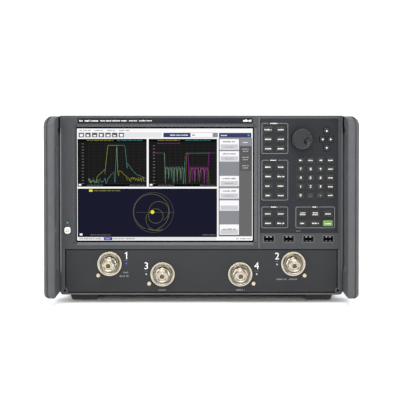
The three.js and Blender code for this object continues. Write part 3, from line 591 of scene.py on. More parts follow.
def make_front():
    dress("front_frame", CASTING, 0.5)
    dress("front_bezel", MOULDING, 0.4)
    dress("port_panel", PANEL, 0.2)
    dress("keypad_overlay", OVERLAY, 0.15, 1)

    strip = Solid()
    x0, x1, z0, z1 = STRIP_BOX
    strip.cushion(x0, x1, z0, z1, 1.2, raised(FRONT, [(0.25, -0.25), (0, -0.12), (0, 0.2)]))
    strip.make("name_strip", [STRIP], slot="overlay_film")
    lettering = Solid()
    middle = (z0 + z1) / 2
    left = x0 + 3
    for seed, width, height in ((1, 5, 2.2), (2, 20, 2.2), (3, 40, 1.8), (4, 12, 1.5), (5, 19, 1.5)):
        word_bars(lettering, left + width / 2, middle - 0.2, width, height, FRONT - 0.25, seed=seed)
        left += width + 3.2
    word_bars(lettering, x1 - 8.5, middle, 12, 3.2, FRONT - 0.25, seed=6)
    lettering.make("name_strip_print", [LEGEND], slot="white_plastic")

    make_seams()

    # A ridge beside the keypad in the lighter edge paint: a painted highlight.
    ridge = Solid()
    bead = mirrored([(1.3, 0.1), (1.15, -0.35), (0.7, -0.7)], (0, -0.85))
    low, high = PANEL_HIGH.z + 1.5, BEZEL_HIGH.z - 1.2
    ridge.loft([[(RIDGE_X + dx, FRONT + dy, z) for dx, dy in bead] for z in (high, low)])
    ridge.make("bezel_ridge", [EDGE_HIGHLIGHT_PAINT], slot="moulding")
    holes = Solid()
    for side in (-1, 1):
        holes.turned(side * 205.8, up(6.2), raised(FRONT, [(1.0, 0.7), (1.9, 0.6), (1.9, 2)]), 24)
    holes.make("corner_holes", [DEEP_BLACK], slot="casting")

    border = Solid()
    outline = (FRAME_LOW.x, FRAME_HIGH.x, FRAME_LOW.z, FRAME_HIGH.z)
    opening = (FRAME_LOW.x + 4.1, FRAME_HIGH.x - 4.1, FRAME_LOW.z + 2.6, FRAME_HIGH.z - 4.1, 2.0)
    border.ring(grown(outline, -0.05, 4.9), opening, FRONT - 0.2, FRONT + 0.3)
    border.make("frame_border", [BORDER_PAINT], slot="casting")


# ---- display ----

SCREEN_X0, SCREEN_TOP = -187.4, up(250.6)
SCREEN_WIDTH, SCREEN_HEIGHT = 264.6, 169.9

UI_COLORS = {
    "white": (252, 252, 254),
    "toolbar": (232, 232, 234),
    "paper": (208, 208, 214),
    "dark": (86, 86, 92),
    "plot": (23, 23, 23),
    "plot_edge": (4, 4, 4),
    "grid": (44, 44, 44),
    "navy": (22, 23, 43),
    "blue": (58, 66, 106),
    "vivid_blue": (50, 40, 170),
    "panel": (107, 107, 107),
    "panel_light": (144, 144, 152),
    "tab": (92, 92, 92),
    "yellow": (190, 190, 60),
    "bright_yellow": (236, 236, 30),
    "cyan": (100, 168, 165),
    "magenta": (150, 30, 150),
    "dim_yellow": (140, 140, 62),
    "teal": (62, 128, 126),
    "plum": (128, 34, 128),
    "dim_grey": (84, 88, 96),
    "axis": (120, 120, 120),
}


class Screen:
    """Draws the user interface in thin layers, in millimetres from the display's top left corner."""

    def __init__(self):
        self.names = list(UI_COLORS)
        self.solid = Solid()

    def depth(self, layer):
        return GLASS - 0.04 * layer - 0.05

    def box(self, color, u0, u1, v0, v1, layer=1):
        self.solid.slab(SCREEN_X0 + u0, SCREEN_X0 + u1, SCREEN_TOP - v1, SCREEN_TOP - v0,
                        self.depth(layer), GLASS - 0.01, self.names.index(color))

    def line(self, color, points, width=0.7, layer=4):
        path = [(SCREEN_X0 + u, SCREEN_TOP - v) for u, v in points]
        self.solid.ribbon(path, width, self.depth(layer), GLASS - 0.01, self.names.index(color))

    def words(self, color, u, v, width, height=1.5, layer=5, seed=0):
        word_bars(self.solid, SCREEN_X0 + u + width / 2, SCREEN_TOP - v, width, height,
                  GLASS - 0.01, self.names.index(color), seed, proud=0.04 * layer + 0.04)

    def captions(self, rows):
        """Several words, each as (color, u, v, width, height, seed)."""
        for color, u, v, width, height, seed in rows:
            self.words(color, u, v, width, height, seed=seed)

    def arc(self, color, u, v, radius, start=0, end=360, width=0.6, layer=4):
        steps = max(int(abs(end - start) / 6), 6)
        angles = [math.radians(start + (end - start) * i / steps) for i in range(steps + 1)]
        self.line(color, [(u + radius * math.cos(a), v - radius * math.sin(a)) for a in angles], width, layer)


def jitter(seed, start, end, level, swing, step=0.9):
    """A noise floor: points between two places about a level."""
    draw = random.Random(seed)
    count = int((end - start) / step)
    return [(start + (end - start) * i / count, level + draw.uniform(-swing, swing))
            for i in range(count + 1)]


PLOT_TOP, PLOT_BOTTOM = 15.7, 88.1
LEFT_PLOT = (0.1, 104.7)
RIGHT_PLOT = (107.7, 211.0)
POLAR_TOP, POLAR_BOTTOM = 90.9, 164.4


def draw_plot_frame(screen, u0, u1, grid_left, grid_top, rows):
    screen.box("plot_edge", u0, u1, PLOT_TOP, PLOT_BOTTOM, 2)
    screen.box("plot", u0 + 1.2, u1 - 1.2, PLOT_TOP + 4.2, PLOT_BOTTOM - 3.6, 3)
    for i in range(11):
        u = grid_left + (u1 - 2.6 - grid_left) * i / 10
        screen.line("grid", [(u, grid_top), (u, PLOT_BOTTOM - 5)], 0.35)
    for i in range(rows + 1):
        v = grid_top + (PLOT_BOTTOM - 5 - grid_top) * i / rows
        screen.line("grid", [(grid_left, v), (u1 - 2.6, v)], 0.35)
        screen.words("axis", u0 + 6.5, v, 3.2, 1.3, seed=i)
    screen.box("white", u0 + 1.5, u0 + 5.6, PLOT_BOTTOM - 4.2, PLOT_BOTTOM - 1.6, 4)
    for u, seed in ((u0 + 14, 21), (u1 - 26, 22)):
        screen.words("axis", u, PLOT_BOTTOM - 2.4, 24, 1.1, seed=seed)


def draw_left_plot(screen):
    u0, u1 = LEFT_PLOT
    draw_plot_frame(screen, u0, u1, 16.5, 23, 13)
    screen.captions((("dim_yellow", 14, 17.8, 40, 1.5, 31), ("teal", 60, 17.8, 38, 1.5, 32)))
    pass_band = [(29.6, 73), (41, 62), (41.3, 70), (42, 62), (46, 26), (47, 25.4), (58.6, 25.4),
                 (59.6, 28), (60.8, 63), (62, 71.5), (63, 64.5), (64.3, 63.6), (74, 73)]
    left_floor, right_floor = jitter(41, 16.5, 28, 79, 4.4), jitter(42, 75, 103, 77.2, 4.0)
    screen.line("yellow", left_floor + pass_band + right_floor, 0.36)
    pass_band = [(50, 71), (55, 65.4), (56.4, 82), (57.6, 60), (59.4, 26), (60.4, 25.4), (70.6, 25.4),
                 (72, 28), (75, 60), (75.4, 52), (82, 62), (90, 70), (100, 73.5), (103, 76)]
    screen.line("cyan", jitter(43, 16.5, 45, 79.4, 4.6) + pass_band, 0.36)


def lobes(start, end, count, top, bottom, seed):
    """The ripple of a filter's match: rounded tops between narrow dips."""
    draw = random.Random(seed)
    points = []
    pitch = (end - start) / count
    for i in range(count):
        low = bottom - draw.uniform(0, 9)
        for step in range(10):
            reach = abs(2 * step / 10 - 1)
            points.append((start + pitch * (i + step / 10), top + (low - top) * reach ** 5))
    return points + [(end, bottom)]


def draw_right_plot(screen):
    u0, u1 = RIGHT_PLOT
    draw_plot_frame(screen, u0, u1, 122, 26, 12)
    screen.captions((("dim_yellow", 121, 17.8, 34, 1.5, 33), ("teal", 163, 17.8, 38, 1.5, 34),
                     ("plum", 121, 22.4, 34, 1.5, 35)))
    level = 37
    screen.line("magenta", [(114, level), (122, level)], 0.7)
    cyan = [(122, level), (131, level), (132.6, 60)] + lobes(133, 160, 6, 58, 84, 1)
    screen.line("cyan", cyan + [(162, 56), (163.6, level + 0.4), (208.6, level)], 0.34)
    yellow = [(122, level), (131.8, level)] + lobes(132.6, 163, 5, 60, 84, 2) + [(165, 40), (166, level)]
    screen.line("dim_yellow", yellow, 0.34)
    magenta = [(166, level), (167.4, 40), (168.4, 62)] + lobes(168.8, 196, 6, 58, 84, 3)
    screen.line("magenta", magenta + [(197.6, 54), (198.6, level), (208.6, level)], 0.5)
    screen.line("dim_yellow", lobes(170, 199, 4, 60, 84, 4), 0.34)


# Each loop's centre from the plot's, then its radius, first and last angle, and line width.
POLAR_LOOPS = (
    (-2.6, -0.8, 27, -70, 250, 0.36),
    (3.9, 5.5, 11, 0, 360, 0.36),
    (8.5, -1.5, 15, -60, 190, 0.34),
    (6, 10.5, 17, 150, 300, 0.34),
    (1, 4, 23, 245, 292, 0.42),
)


def draw_polar_plot(screen):
    screen.box("plot_edge", LEFT_PLOT[0], RIGHT_PLOT[1], POLAR_TOP, POLAR_BOTTOM, 2)
    screen.box("navy", LEFT_PLOT[0] + 0.8, RIGHT_PLOT[1] - 1.4, POLAR_TOP + 1, POLAR_BOTTOM - 0.6, 3)
    u, v = 114.5, 127.0
    screen.arc("dim_grey", u, v, 30.4, width=0.5)
    screen.arc("navy", u, v, 20, width=0.4)
    screen.line("dim_grey", [(u - 26, v), (u + 33, v)], 0.4)
    for du, dv, radius, start, end, width in POLAR_LOOPS:
        screen.arc("dim_yellow", u + du, v + dv, radius, start, end, width)
    screen.arc("bright_yellow", u - 1.2, v - 0.5, 1.5, width=2.6, layer=5)
    screen.box("bright_yellow", 17.5, 22.6, 92.4, 95.6, 5)
    screen.words("dim_yellow", 25, 94, 41, 1.5, seed=51)
    screen.box("white", 3.2, 7.3, 159, 162, 5)
    screen.captions((("axis", 19, 161, 31, 1.2, 52), ("axis", 189, 161, 20, 1.2, 53)))


def draw_side_panel(screen):
    screen.box("panel", 213.6, 264.0, 14.6, 163.4, 2)
    screen.box("blue", 214, 263, 6.6, 14.1, 3)
    screen.words("white", 217, 10.4, 9, 1.9, seed=61)
    screen.box("cyan", 257.5, 260, 9, 11.6, 4)
    screen.box("panel_light", 214.6, 244.4, 15.8, 161.2, 3)
    keys = ((15.9, 31.9), (34.3, 49.8), (71.7, 87.3), (90.5, 106), (108.8, 124.3), (145.3, 160.9))
    for i, (top, bottom) in enumerate(keys):
        screen.box("white", 215, 244.2, top, bottom, 4)
        screen.box("paper", 216.5, 242.8, (top + bottom) / 2, bottom - 1, 5)
        if i != 4:
            screen.words("dark", 219.6, top + 4 + (3 if i == 5 else 0), 20, 1.8, 6, seed=62 + i)
        if i not in (4, 5):
            screen.words("panel_light", 223, bottom - 4, 13, 1.3, 6, seed=72 + i)
    screen.box("panel_light", 245.4, 263.4, 15.8, 26.3, 3)
    for top in (27, 39.6, 52.2):
        screen.box("tab", 245.4, 263.4, top, top + 12, 3)
        screen.words("paper", 249, top + 4, 10, 1.3, 4, seed=int(top))
        screen.words("paper", 250, top + 7.4, 8, 1.3, 4, seed=int(top) + 1)
    screen.words("white", 250, 21, 8, 1.5, 4, seed=80)


def draw_bars(screen):
    screen.box("white", -0.9, SCREEN_WIDTH + 0.6, 0, SCREEN_HEIGHT, 1)
    screen.box("toolbar", 0.8, 127, 5.6, 13.8, 2)
    for i, (u, width) in enumerate(((3, 4), (9, 11), (26, 13), (45, 12), (63, 8), (73, 6))):
        screen.words("dark", u, 2.8, width, 1.4, 3, seed=90 + i)
    for i in range(7):
        u = 5.9 + 10.08 * i
        screen.box("dark", u - 3.9, u + 3.9, 6.4, 13.2, 3)
        screen.box("white", u - 2.2, u + (1.6 if i % 2 else 2.4), 8.2 + (i % 3) * 0.8, 12, 4)
    screen.box("blue", 129.9, 170.5, 6.4, 13.3, 2)
    screen.words("white", 140, 9.9, 27, 1.8, 3, seed=97)
    screen.box("dark", 170.5, 204.6, 6.2, 13.5, 2)
    screen.box("white", 171, 204.4, 6.6, 13.1, 3)
    screen.words("dark", 173.5, 9.9, 5, 1.8, 4, seed=98)
    screen.box("panel_light", 204.6, 212.2, 6.4, 13.3, 2)
    screen.box("toolbar", 0.8, 210, 164.6, 169.2, 2)
    for i, (u, width) in enumerate(((3, 22), (27, 9), (54, 16), (73, 14), (240, 4), (246, 17))):
        screen.words("dark", u, 166.9, width, 1.3, 3, seed=100 + i)
    screen.box("vivid_blue", 39.7, 52.4, 164.8, 169.1, 3)
    screen.words("toolbar", 42, 167, 8, 1.3, 4, seed=110)


def make_display():
    border = Solid()
    border.slab(GLASS_LOW.x, GLASS_HIGH.x, GLASS_LOW.z, GLASS_HIGH.z, GLASS, GLASS_HIGH.y)
    glass = border.make("touch_glass_plate", [GLASS_BLACK], slot="screen_glass")
    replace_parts(glass, "touch_glass")
    screen = Screen()
    draw_bars(screen)
    draw_left_plot(screen)
    draw_right_plot(screen)
    draw_polar_plot(screen)
    draw_side_panel(screen)
    materials = [glowing(f"display_{name}", linear(*color)) for name, color in UI_COLORS.items()]
    screen.solid.make("display_image", materials, slot="screen_glass", sharp=10)
    dress("lcd_module", ALUMINIUM, 0.4)


# ---- handles ----

def filleted(corners, steps=7):
    """A closed outline from (u, v, radius) corners, each rounded by its radius."""
    points = []
    count = len(corners)
    for i, (u, v, radius) in enumerate(corners):
        here = Vector((u, v))
        before = (Vector(corners[i - 1][:2]) - here).normalized()
        after = (Vector(corners[(i + 1) % count][:2]) - here).normalized()
        half = before.angle(after) / 2
        centre = here + (before + after).normalized() * radius / math.sin(half)
        first = here + before * radius / math.tan(half) - centre
        turn = first.angle_signed(here + after * radius / math.tan(half) - centre)
        for step in range(steps + 1):
            arm = first.copy()
            arm.rotate(Matrix.Rotation(-turn * step / steps, 2))
            points.append(tuple(centre + arm))
    return points


def plate(loops, low, high, bevel):
    """A flat shape from outlines in (Y, Z), thick along X from low to high, with rounded edges."""
    curve = bpy.data.curves.new("outline", "CURVE")
    curve.dimensions = "2D"
    curve.fill_mode = "BOTH"
    for loop in loops:
        spline = curve.splines.new("POLY")
        spline.points.add(len(loop) - 1)
        for point, (u, v) in zip(spline.points, loop):
            point.co = (u, v, 0, 1)
        spline.use_cyclic_u = True
    curve.extrude = (high - low) / 2 - bevel
    curve.bevel_depth = bevel
    curve.bevel_resolution = 4
    curve.offset = -bevel
    mesh = curve_mesh(curve)
    turn = Matrix(((0, 0, 1, (low + high) / 2), (1, 0, 0, 0), (0, 1, 0, 0), (0, 0, 0, 1)))
    mesh.transform(turn)
    return mesh


HANDLE_LOW, HANDLE_HIGH = span("handle_right")
FINGER_GAP = (-290, -262, 50, 262)
TOP_CORNER = (9.5, 14.5)
LOW_CORNER = (7.0, 9.5)


def round_outer_corners(mesh):
    """Draws the handle's outer side in towards its ends, so that it is rounded seen from the front."""
    work = bmesh.new()
    work.from_mesh(mesh)
    inner, outer = HANDLE_LOW.x, HANDLE_HIGH.x
    for end, (across, high), inwards in ((HANDLE_HIGH.z, TOP_CORNER, -1), (HANDLE_LOW.z, LOW_CORNER, 1)):
        for step in range(1, 13):
            level = end + inwards * high * (1 - math.cos(math.radians(90 * step / 12)))
            everything = work.verts[:] + work.edges[:] + work.faces[:]
            bmesh.ops.bisect_plane(work, geom=everything, plane_co=(0, 0, level), plane_no=(0, 0, 1))
        for vertex in work.verts:
            depth = 1 - (end - vertex.co.z) * -inwards / high
            if depth > 0:
                limit = outer - across * (1 - math.sqrt(max(1 - depth * depth, 0)))
                vertex.co.x = inner + (vertex.co.x - inner) * (limit - inner) / (outer - inner)
    work.to_mesh(mesh)
    work.free()
    return mesh


def make_handle_spacers():
    """Black slabs in the gap between each handle and the frame, near the top, and on the handle's inner face
    beside it: painted shadow of the recess there.
    """
    gap_shadows = Solid()
    low, high = up(244), up(268.5)
    for side in (-1, 1):
        inner, outer = FRAME_HIGH.x + 0.05, HANDLE_LOW.x - 0.05
        x0, x1 = sorted((side * inner, side * outer))
        gap_shadows.slab(x0, x1, low, high, FRONT + 0.6, FRONT + 30)
        x0, x1 = sorted((side * (HANDLE_LOW.x - 0.45), side * (HANDLE_LOW.x + 0.1)))
        gap_shadows.slab(x0, x1, low, high, FRONT - 8.5, FRONT + 0.6)
    gap_shadows.make("handle_gap_painted_shadows", [DEEP_BLACK], slot="black_plastic")


def make_handles():
    y0, y1, z0, z1 = HANDLE_LOW.y, HANDLE_HIGH.y, HANDLE_LOW.z, HANDLE_HIGH.z
    outer = filleted([(y0, z0, 8), (y1, z0, 6), (y1, z1, 6), (y0, z1, 15)])
    gap_y0, gap_y1, gap_z0, gap_z1 = FINGER_GAP
    hole = filleted([(gap_y0, gap_z0, 11), (gap_y0, gap_z1, 11), (gap_y1, gap_z1, 11), (gap_y1, gap_z0, 11)])
    inner_layer = (HANDLE_LOW.x, HANDLE_HIGH.x - 4.5, 3.8)
    outer_layer = (HANDLE_HIGH.x - 4.9, HANDLE_HIGH.x, 2.4)
    for name, side in (("handle_right", 1), ("handle_left", -1)):
        solid = Solid()
        solid.pose = Matrix.Diagonal((side, 1, 1, 1))
        for low, high, bevel in (inner_layer, outer_layer):
            solid.add_mesh(round_outer_corners(plate([outer, hole], low, high, bevel)))
        piece = solid.make(f"{name}_grip", [HANDLE], slot="handle_paint")
        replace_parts(piece, name)


# ---- keys, knob and power button ----

KEY_LONG = (13, 8.5)
KEY_SMALL = (10.4, 8.8)
KEY_FACE = -270.2
KEY_BACK = -262.6
RIM_LINE = 0.4
RIM_FACE = OVERLAY_LOW.y - 0.08
CAP_EDGE = [(1.1, 0), (0.6, 0.12), (0.25, 0.4), (0.05, 0.9)]
# A group's first key, columns and rows, the pitch across and down, and the size of a key.
KEY_GROUPS = {
    "instrument": (100.1, 249.0, 2, 3, 19.1, 14.3, KEY_LONG),
    "response": (100.1, 192.9, 2, 4, 19.1, 14.3, KEY_LONG),
    "stimulus": (100.1, 122.5, 2, 2, 19.1, 14.3, KEY_LONG),
    "number": (149.2, 203.0, 4, 5, 14.9, 13.2, KEY_SMALL),
    "utility": (152.5, 122.5, 3, 2, 18.9, 14.3, KEY_LONG),
}
NUMBER_LEGENDS = ("", "789", "456", "123", "0.-")


def key_cap(solid, x, z, width, height, radius=1.3):
    profile = raised(KEY_FACE, CAP_EDGE) + [(0, KEY_BACK)]
    solid.cushion(*centred(x, z, width, height), radius, profile)


def key_piece(name, node, caps, material, finish_name):
    """Ends the caps with the plate behind them and stands them in for a CAD node."""
    low, high = span(node)
    caps.slab(low.x, high.x, low.z, high.z, KEY_BACK, high.y)
    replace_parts(caps.make(name, [material], body=node, slot=finish_name), node)


def legend(solid, group, row, column, x, z):
    """The print on one key: figures on the number pad, strokes standing for words elsewhere."""
    seed = 200 + 20 * row + column + 7 * len(group)
    draw = random.Random(seed)
    if group == "number" and row and column < 3:
        solid.add_mesh(figures(NUMBER_LEGENDS[row][column], x, z, 3.6, KEY_FACE - 0.05, 0.14, 0.12))
    elif group == "number" and row == 0 and column in (0, 2):
        reach = 2.2 if column == 0 else -2.2
        tail, tip = x - reach, x + reach
        printed(solid, [(tail, z - 1.2), (tail, z + 1.2), (tip, z + 0.1), (tip, z - 0.1)], KEY_FACE)
    elif group == "number":
        word_bars(solid, x, z, 7.0, 1.7, KEY_FACE, seed=seed)
    elif group == "utility" and row == 0 and column < 2:
        word_bars(solid, x, z + 1.5, 7.5, 1.5, KEY_FACE, seed=seed)
        word_bars(solid, x, z - 1.3, 9.0, 1.5, KEY_FACE, seed=seed + 1)
    else:
        word_bars(solid, x, z, draw.uniform(7.0, 10.5), 1.8, KEY_FACE, seed=seed)


def make_key_rows():
    edge_highlights = Solid()
    for group, (x0, h0, columns, rows, dx, dz, (width, height)) in KEY_GROUPS.items():
        for row in range(rows):
            node = f"{group}_row_{row + 1}"
            z = up(h0 - row * dz)
            count = columns - 1 if group == "utility" and row == 1 else columns
            caps = Solid()
            print_work = Solid()
            for column in range(count):
                x = x0 + column * dx
                key_cap(caps, x, z, width, height)
                legend(print_work, group, row, column, x, z)
                # A lighter ring round each key: painted highlight of the key's edge.
                edge = centred(x, z, width + 1.5, height + 1.5)
                edge_highlights.ring((*edge, 1.8), grown(edge, -RIM_LINE, 1.8 - RIM_LINE), RIM_FACE, RIM_FACE + 0.1)
            key_piece(f"{node}_caps", node, caps, KEY, "key_plastic")
            print_work.make(f"{node}_print", [LEGEND], body=node, slot="white_plastic")
    edge_highlights.make("key_edge_highlights", [KEY_EDGE_HIGHLIGHT], slot="overlay_film")


def make_preset_key():
    centre = middle_of("preset_key")
    cap = Solid()
    key_cap(cap, centre.x, centre.z, 14.9, 9.1)
    key_piece("preset_key_cap", "preset_key", cap, GREEN_KEY, "preset_green")
    print_work = Solid()
    word_bars(print_work, centre.x, centre.z - 0.6, 9.5, 1.7, KEY_FACE, seed=300)
    print_work.make("preset_key_print", [LEGEND], body="preset_key", slot="white_plastic")


def make_arrow_keys():
    """Four small keys, each with a pointer outwards from the middle."""
    for name, angle in (("up", 0), ("left", 90), ("down", 180), ("right", 270)):
        node = f"arrow_{name}"
        centre = middle_of(node)
        cap = Solid()
        key_cap(cap, centre.x, centre.z, 8.5, 8.5, radius=2.4)
        key_piece(f"{node}_cap", node, cap, KEY, "key_plastic")
        pointer = Solid()
        pointer.pose = (Matrix.Translation((centre.x, 0, centre.z))
                        @ Matrix.Rotation(-math.radians(angle), 4, "Y"))
        printed(pointer, [(1.4, -1.1), (0.15, 1.4), (-0.15, 1.4), (-1.4, -1.1)], KEY_FACE)
        pointer.make(f"{node}_print", [PRINT], body=node, slot="white_plastic")


KNOB_PLACE = (150.3, up(235))
KNOB_STEPS = 120
DIMPLE = (8.2, -3.4)
DIMPLE_BALL = 7
DIMPLE_LIFT = 3.6


def make_knob():
    low, high = span("knob")
    x, z = KNOB_PLACE
    tip, back = low.y, OVERLAY_LOW.y - 0.6

    def dimpled(radius, y):
        """A ring of the knob's face, pressed in where the finger dimple is."""
        ring = []
        for px, pz in circle(x, z, radius, KNOB_STEPS):
            distance = math.hypot(px - x - DIMPLE[0], pz - z - DIMPLE[1])
            sunk = math.sqrt(max(DIMPLE_BALL ** 2 - distance ** 2, 0)) - DIMPLE_LIFT
            ring.append((px, max(y, tip + sunk) if sunk > 0 else y, pz))
        return ring

    face = Solid()
    rings = [dimpled(0.3 + 13 * i / 44, tip + 0.35) for i in range(45)]
    rim_profile = [(13.9, tip + 0.12), (14.5, tip), (15.0, tip + 0.12), (15.4, tip + 0.45), (15.7, tip + 1.2),
                   (15.9, tip + 8), (16, back - 0.2), (15.4, back), (5, back), (5, back - 3), (0.4, back - 3)]
    for radius, y in rim_profile:
        on_face = radius < 15 and y < tip + 2
        rings.append(dimpled(radius, y) if on_face else at_depth(circle(x, z, radius, KNOB_STEPS), y))
    face.loft(rings)
    face.turned(x, z, [(3, back - 4), (3, high.y)], 24)
    piece = face.make("knob_turned", [KNOB], body="knob", slot="knob_plastic")
    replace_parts(piece, "knob")


POWER_WIDTH, POWER_HEIGHT = 9.0, 10.0


def make_power_button():
    low, high = span("power_button")
    centre = (low + high) / 2
    button = Solid()
    profile = raised(low.y, [(1.2, 0), (0.6, 0.1), (0.2, 0.35), (0, 0.8)]) + [(0, high.y - 1)]
    button.cushion(*centred(centre.x, centre.z, POWER_WIDTH, POWER_HEIGHT), 3.2, profile)
    button.slab(low.x, high.x, low.z, high.z, high.y - 1, high.y)
    piece = button.make("power_button_cap", [WHITE_PLASTIC], body="power_button", slot="white_plastic")
    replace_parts(piece, "power_button")
    mark = Solid()
    angles = [math.radians(a) for a in range(125, 416, 15)]
    mark.ribbon([(centre.x + 2.2 * math.cos(a), centre.z + 2.2 * math.sin(a)) for a in angles], 0.9,
                low.y - 0.06, low.y + 0.05)
    mark.slab(centre.x - 0.4, centre.x + 0.4, centre.z + 0.4, centre.z + 2.8, low.y - 0.06, low.y + 0.05)
    mark.make("power_button_mark", [GREY_PRINT], body="power_button", slot="black_plastic")
    lamp = Solid()
    lamp.turned(centre.x, up(108.8), raised(FRONT, [(0.3, -0.55), (0.8, -0.4), (1.1, 0), (1.1, 1)]), 24)
    lamp.make("power_lamp", [LED_GREEN], slot="preset_green")


# ---- printed outlines and titles ----

# Left, right, bottom and top, then the middle and width of the title, and its seed.
OUTLINES = (
    (91.0, 130.1, 213.1, 258.5, 109.2, 12.0, 1),
    (91.0, 130.1, 142.9, 203.0, 108.6, 10.5, 2),
    (91.0, 130.1, 101.1, 132.5, 109.6, 9.8, 3),
    (142.3, 200.6, 101.1, 132.5, 171.2, 7.6, 4),
)


def make_outlines():
    lines = Solid()
    titles = Solid()
    face = OVERLAY_LOW.y
    for x0, x1, h0, h1, title_x, title_width, seed in OUTLINES:
        z0, z1 = up(h0), up(h1)
        gap = title_width / 2 + 2.0
        corners = rounded_rect(x0, x1, z0, z1, 2.2)
        top_right, others = corners[:6], corners[6:]
        path = [(title_x - gap, z1)] + others + top_right + [(title_x + gap, z1)]
        lines.ribbon(path, 0.9, face - 0.1, face + 0.02)
        word_bars(titles, title_x, z1, title_width, 1.7, face, seed=400 + seed, proud=0.12)
    word_bars(titles, 146.2, up(96.2), 7, 1.0, face, slot=1, seed=410, proud=0.12)
    lines.make("overlay_outlines", [GREY_PRINT], slot="overlay_film")
    titles.make("overlay_titles", [LEGEND, FAINT_PRINT], slot="white_plastic")


# ---- USB sockets ----

def make_sockets():
    """Four sockets: a thin rim in lighter grey as a painted highlight of the surround's edge, a dark field
    with spring tabs, and the slot with its tongue behind.
    """
    surrounds = Solid()
    springs = Solid()
    for i in range(4):
        x, z = 101.6 + 29.83 * i, up(84.3)
        edge = centred(x, z, 17, 10.4)
        mouth = centred(x, z, 12.2, 3.4)
        # The surround's edge in the lighter rim grey: painted highlight.
        surrounds.ring((*edge, 1.8), grown(edge, -0.5, 1.4), FRONT - 0.15, FRONT + 0.2)
        surrounds.ring(grown(edge, -0.45, 1.4), (*mouth, 0.4), FRONT - 0.05, FRONT + 0.3, 1)
        surrounds.slab(*centred(x, z, 12.4, 3.6), FRONT + 0.4, FRONT + 3, 2)
        for side in (-1, 1):
            middle = x + side * 2.9
            springs.cushion(middle - 1.2, middle + 1.2, z + 2.5, z + 3.5, 0.4,
                            raised(FRONT, [(0.3, -0.25), (0, -0.15), (0, 0.1)]))
            # The lower tabs in the darker nickel: painted shade.
            springs.cushion(middle - 1.1, middle + 1.1, z - 3.4, z - 2.8, 0.3,
                            raised(FRONT, [(0.2, -0.2), (0, -0.12), (0, 0.1)]), 1)
    surrounds.make("socket_surrounds", [SOCKET_RIM_HIGHLIGHT, SOCKET_FIELD, DEEP_BLACK], slot="moulding")
    springs.make("socket_springs", [NICKEL, SHADED_NICKEL], slot="nickel")


# ---- test ports ----

PORTS = {1: (-138.4, 46.8), 2: (138.4, 46.8), 3: (-58.5, 31.0), 4: (58.5, 31.0)}
PORT_NUMBERS = {1: (-113.4, 59.0), 2: (114.2, 57.7), 3: (-83.1, 43.0), 4: (83.4, 43.0)}
ONE = ((-2.2, 3.3), (-2.2, 2.3), (0.0, 3.2), (0.0, -5.15), (1.3, -5.15), (1.3, 5.15), (0.3, 5.15))
BUSHES = ((-155.7, 28.9), (-78.7, 16.5), (78.7, 16.5), (155.7, 28.9))


def many_sided(x, z, radius, sides, steps=48):
    """A regular polygon with extra points along its sides, to loft against circles."""
    points = []
    for step in range(steps):
        angle = 2 * math.pi * step / steps
        within = angle % (2 * math.pi / sides) - math.pi / sides
        reach = radius * math.cos(math.pi / sides) / math.cos(within)
        points.append((x + reach * math.cos(angle), z + reach * math.sin(angle)))
    return points


def make_port(number):
    x, h = PORTS[number]
    z = up(h)
    flange_low, flange_high = span(f"port_flange_{number}")
    tip = span(f"port_connector_{number}")[0].y
    plate_face, seat = flange_low.y, flange_high.y
    disc = Solid()
    dish = raised(plate_face, [(13.2, 0.9), (13.5, 0.7), (15.9, 0.35), (16.1, 0.47), (16.3, 0.22),
                               (17.9, 0.02), (18.2, 0.1), (18.4, 0.4)])
    disc.hoop(x, z, [(13.2, seat)] + dish + [(18.4, seat)], 72)
    # The groove between nut and flange in the darker nickel: painted shade.
    disc.hoop(x, z, raised(seat, [(11.4, 0), (11.4, -0.5), (13.4, -0.5), (13.4, 0)]), 72, 1)
    piece = disc.make(f"port_flange_{number}_disc", [NICKEL, SHADED_NICKEL], slot="nickel", sharp=30)
    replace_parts(piece, f"port_flange_{number}")

    barrel = Solid()
    steps = 48
    barrel.turned(x, z, raised(tip, [(2.4, 6), (2.9, 4.5)]), steps, 1)
    nut_front, nut_back = plate_face - 4.6, plate_face + 1.6
    profile = raised(tip, [(3.25, 5), (3.25, 0.35), (3.6, 0), (4.9, 0), (5.2, 0.35), (5.2, 2.4), (6.6, 2.5),
                           (6.8, 0.6), (7.4, 0.3), (8.6, 0.5), (9.3, 1.3), (9.5, 2.4), (9.5, 5), (8.8, 5.5),
                           (8.8, 6.6), (9.6, 7.1)]) + [(9.6, nut_front)]
    nut = ((10.2, nut_front + 0.01), (11.2, nut_front + 0.8), (11.2, nut_back))
    sleeve = [(circle(x, z, radius, steps), y) for radius, y in profile]
    sleeve += [(many_sided(x, z, radius, 8, steps), y) for radius, y in nut]
    barrel.closed(sleeve + [(circle(x, z, 3.25, steps), nut_back)])
    barrel.turned(x, z, raised(tip, [(0.35, 0.9), (0.85, 1.4), (0.9, 6.2)]), 20, 2)
    piece = barrel.make(f"port_connector_{number}_barrel", [NICKEL, GOLD, GOLD], slot="nickel", sharp=30)
    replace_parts(piece, f"port_connector_{number}")


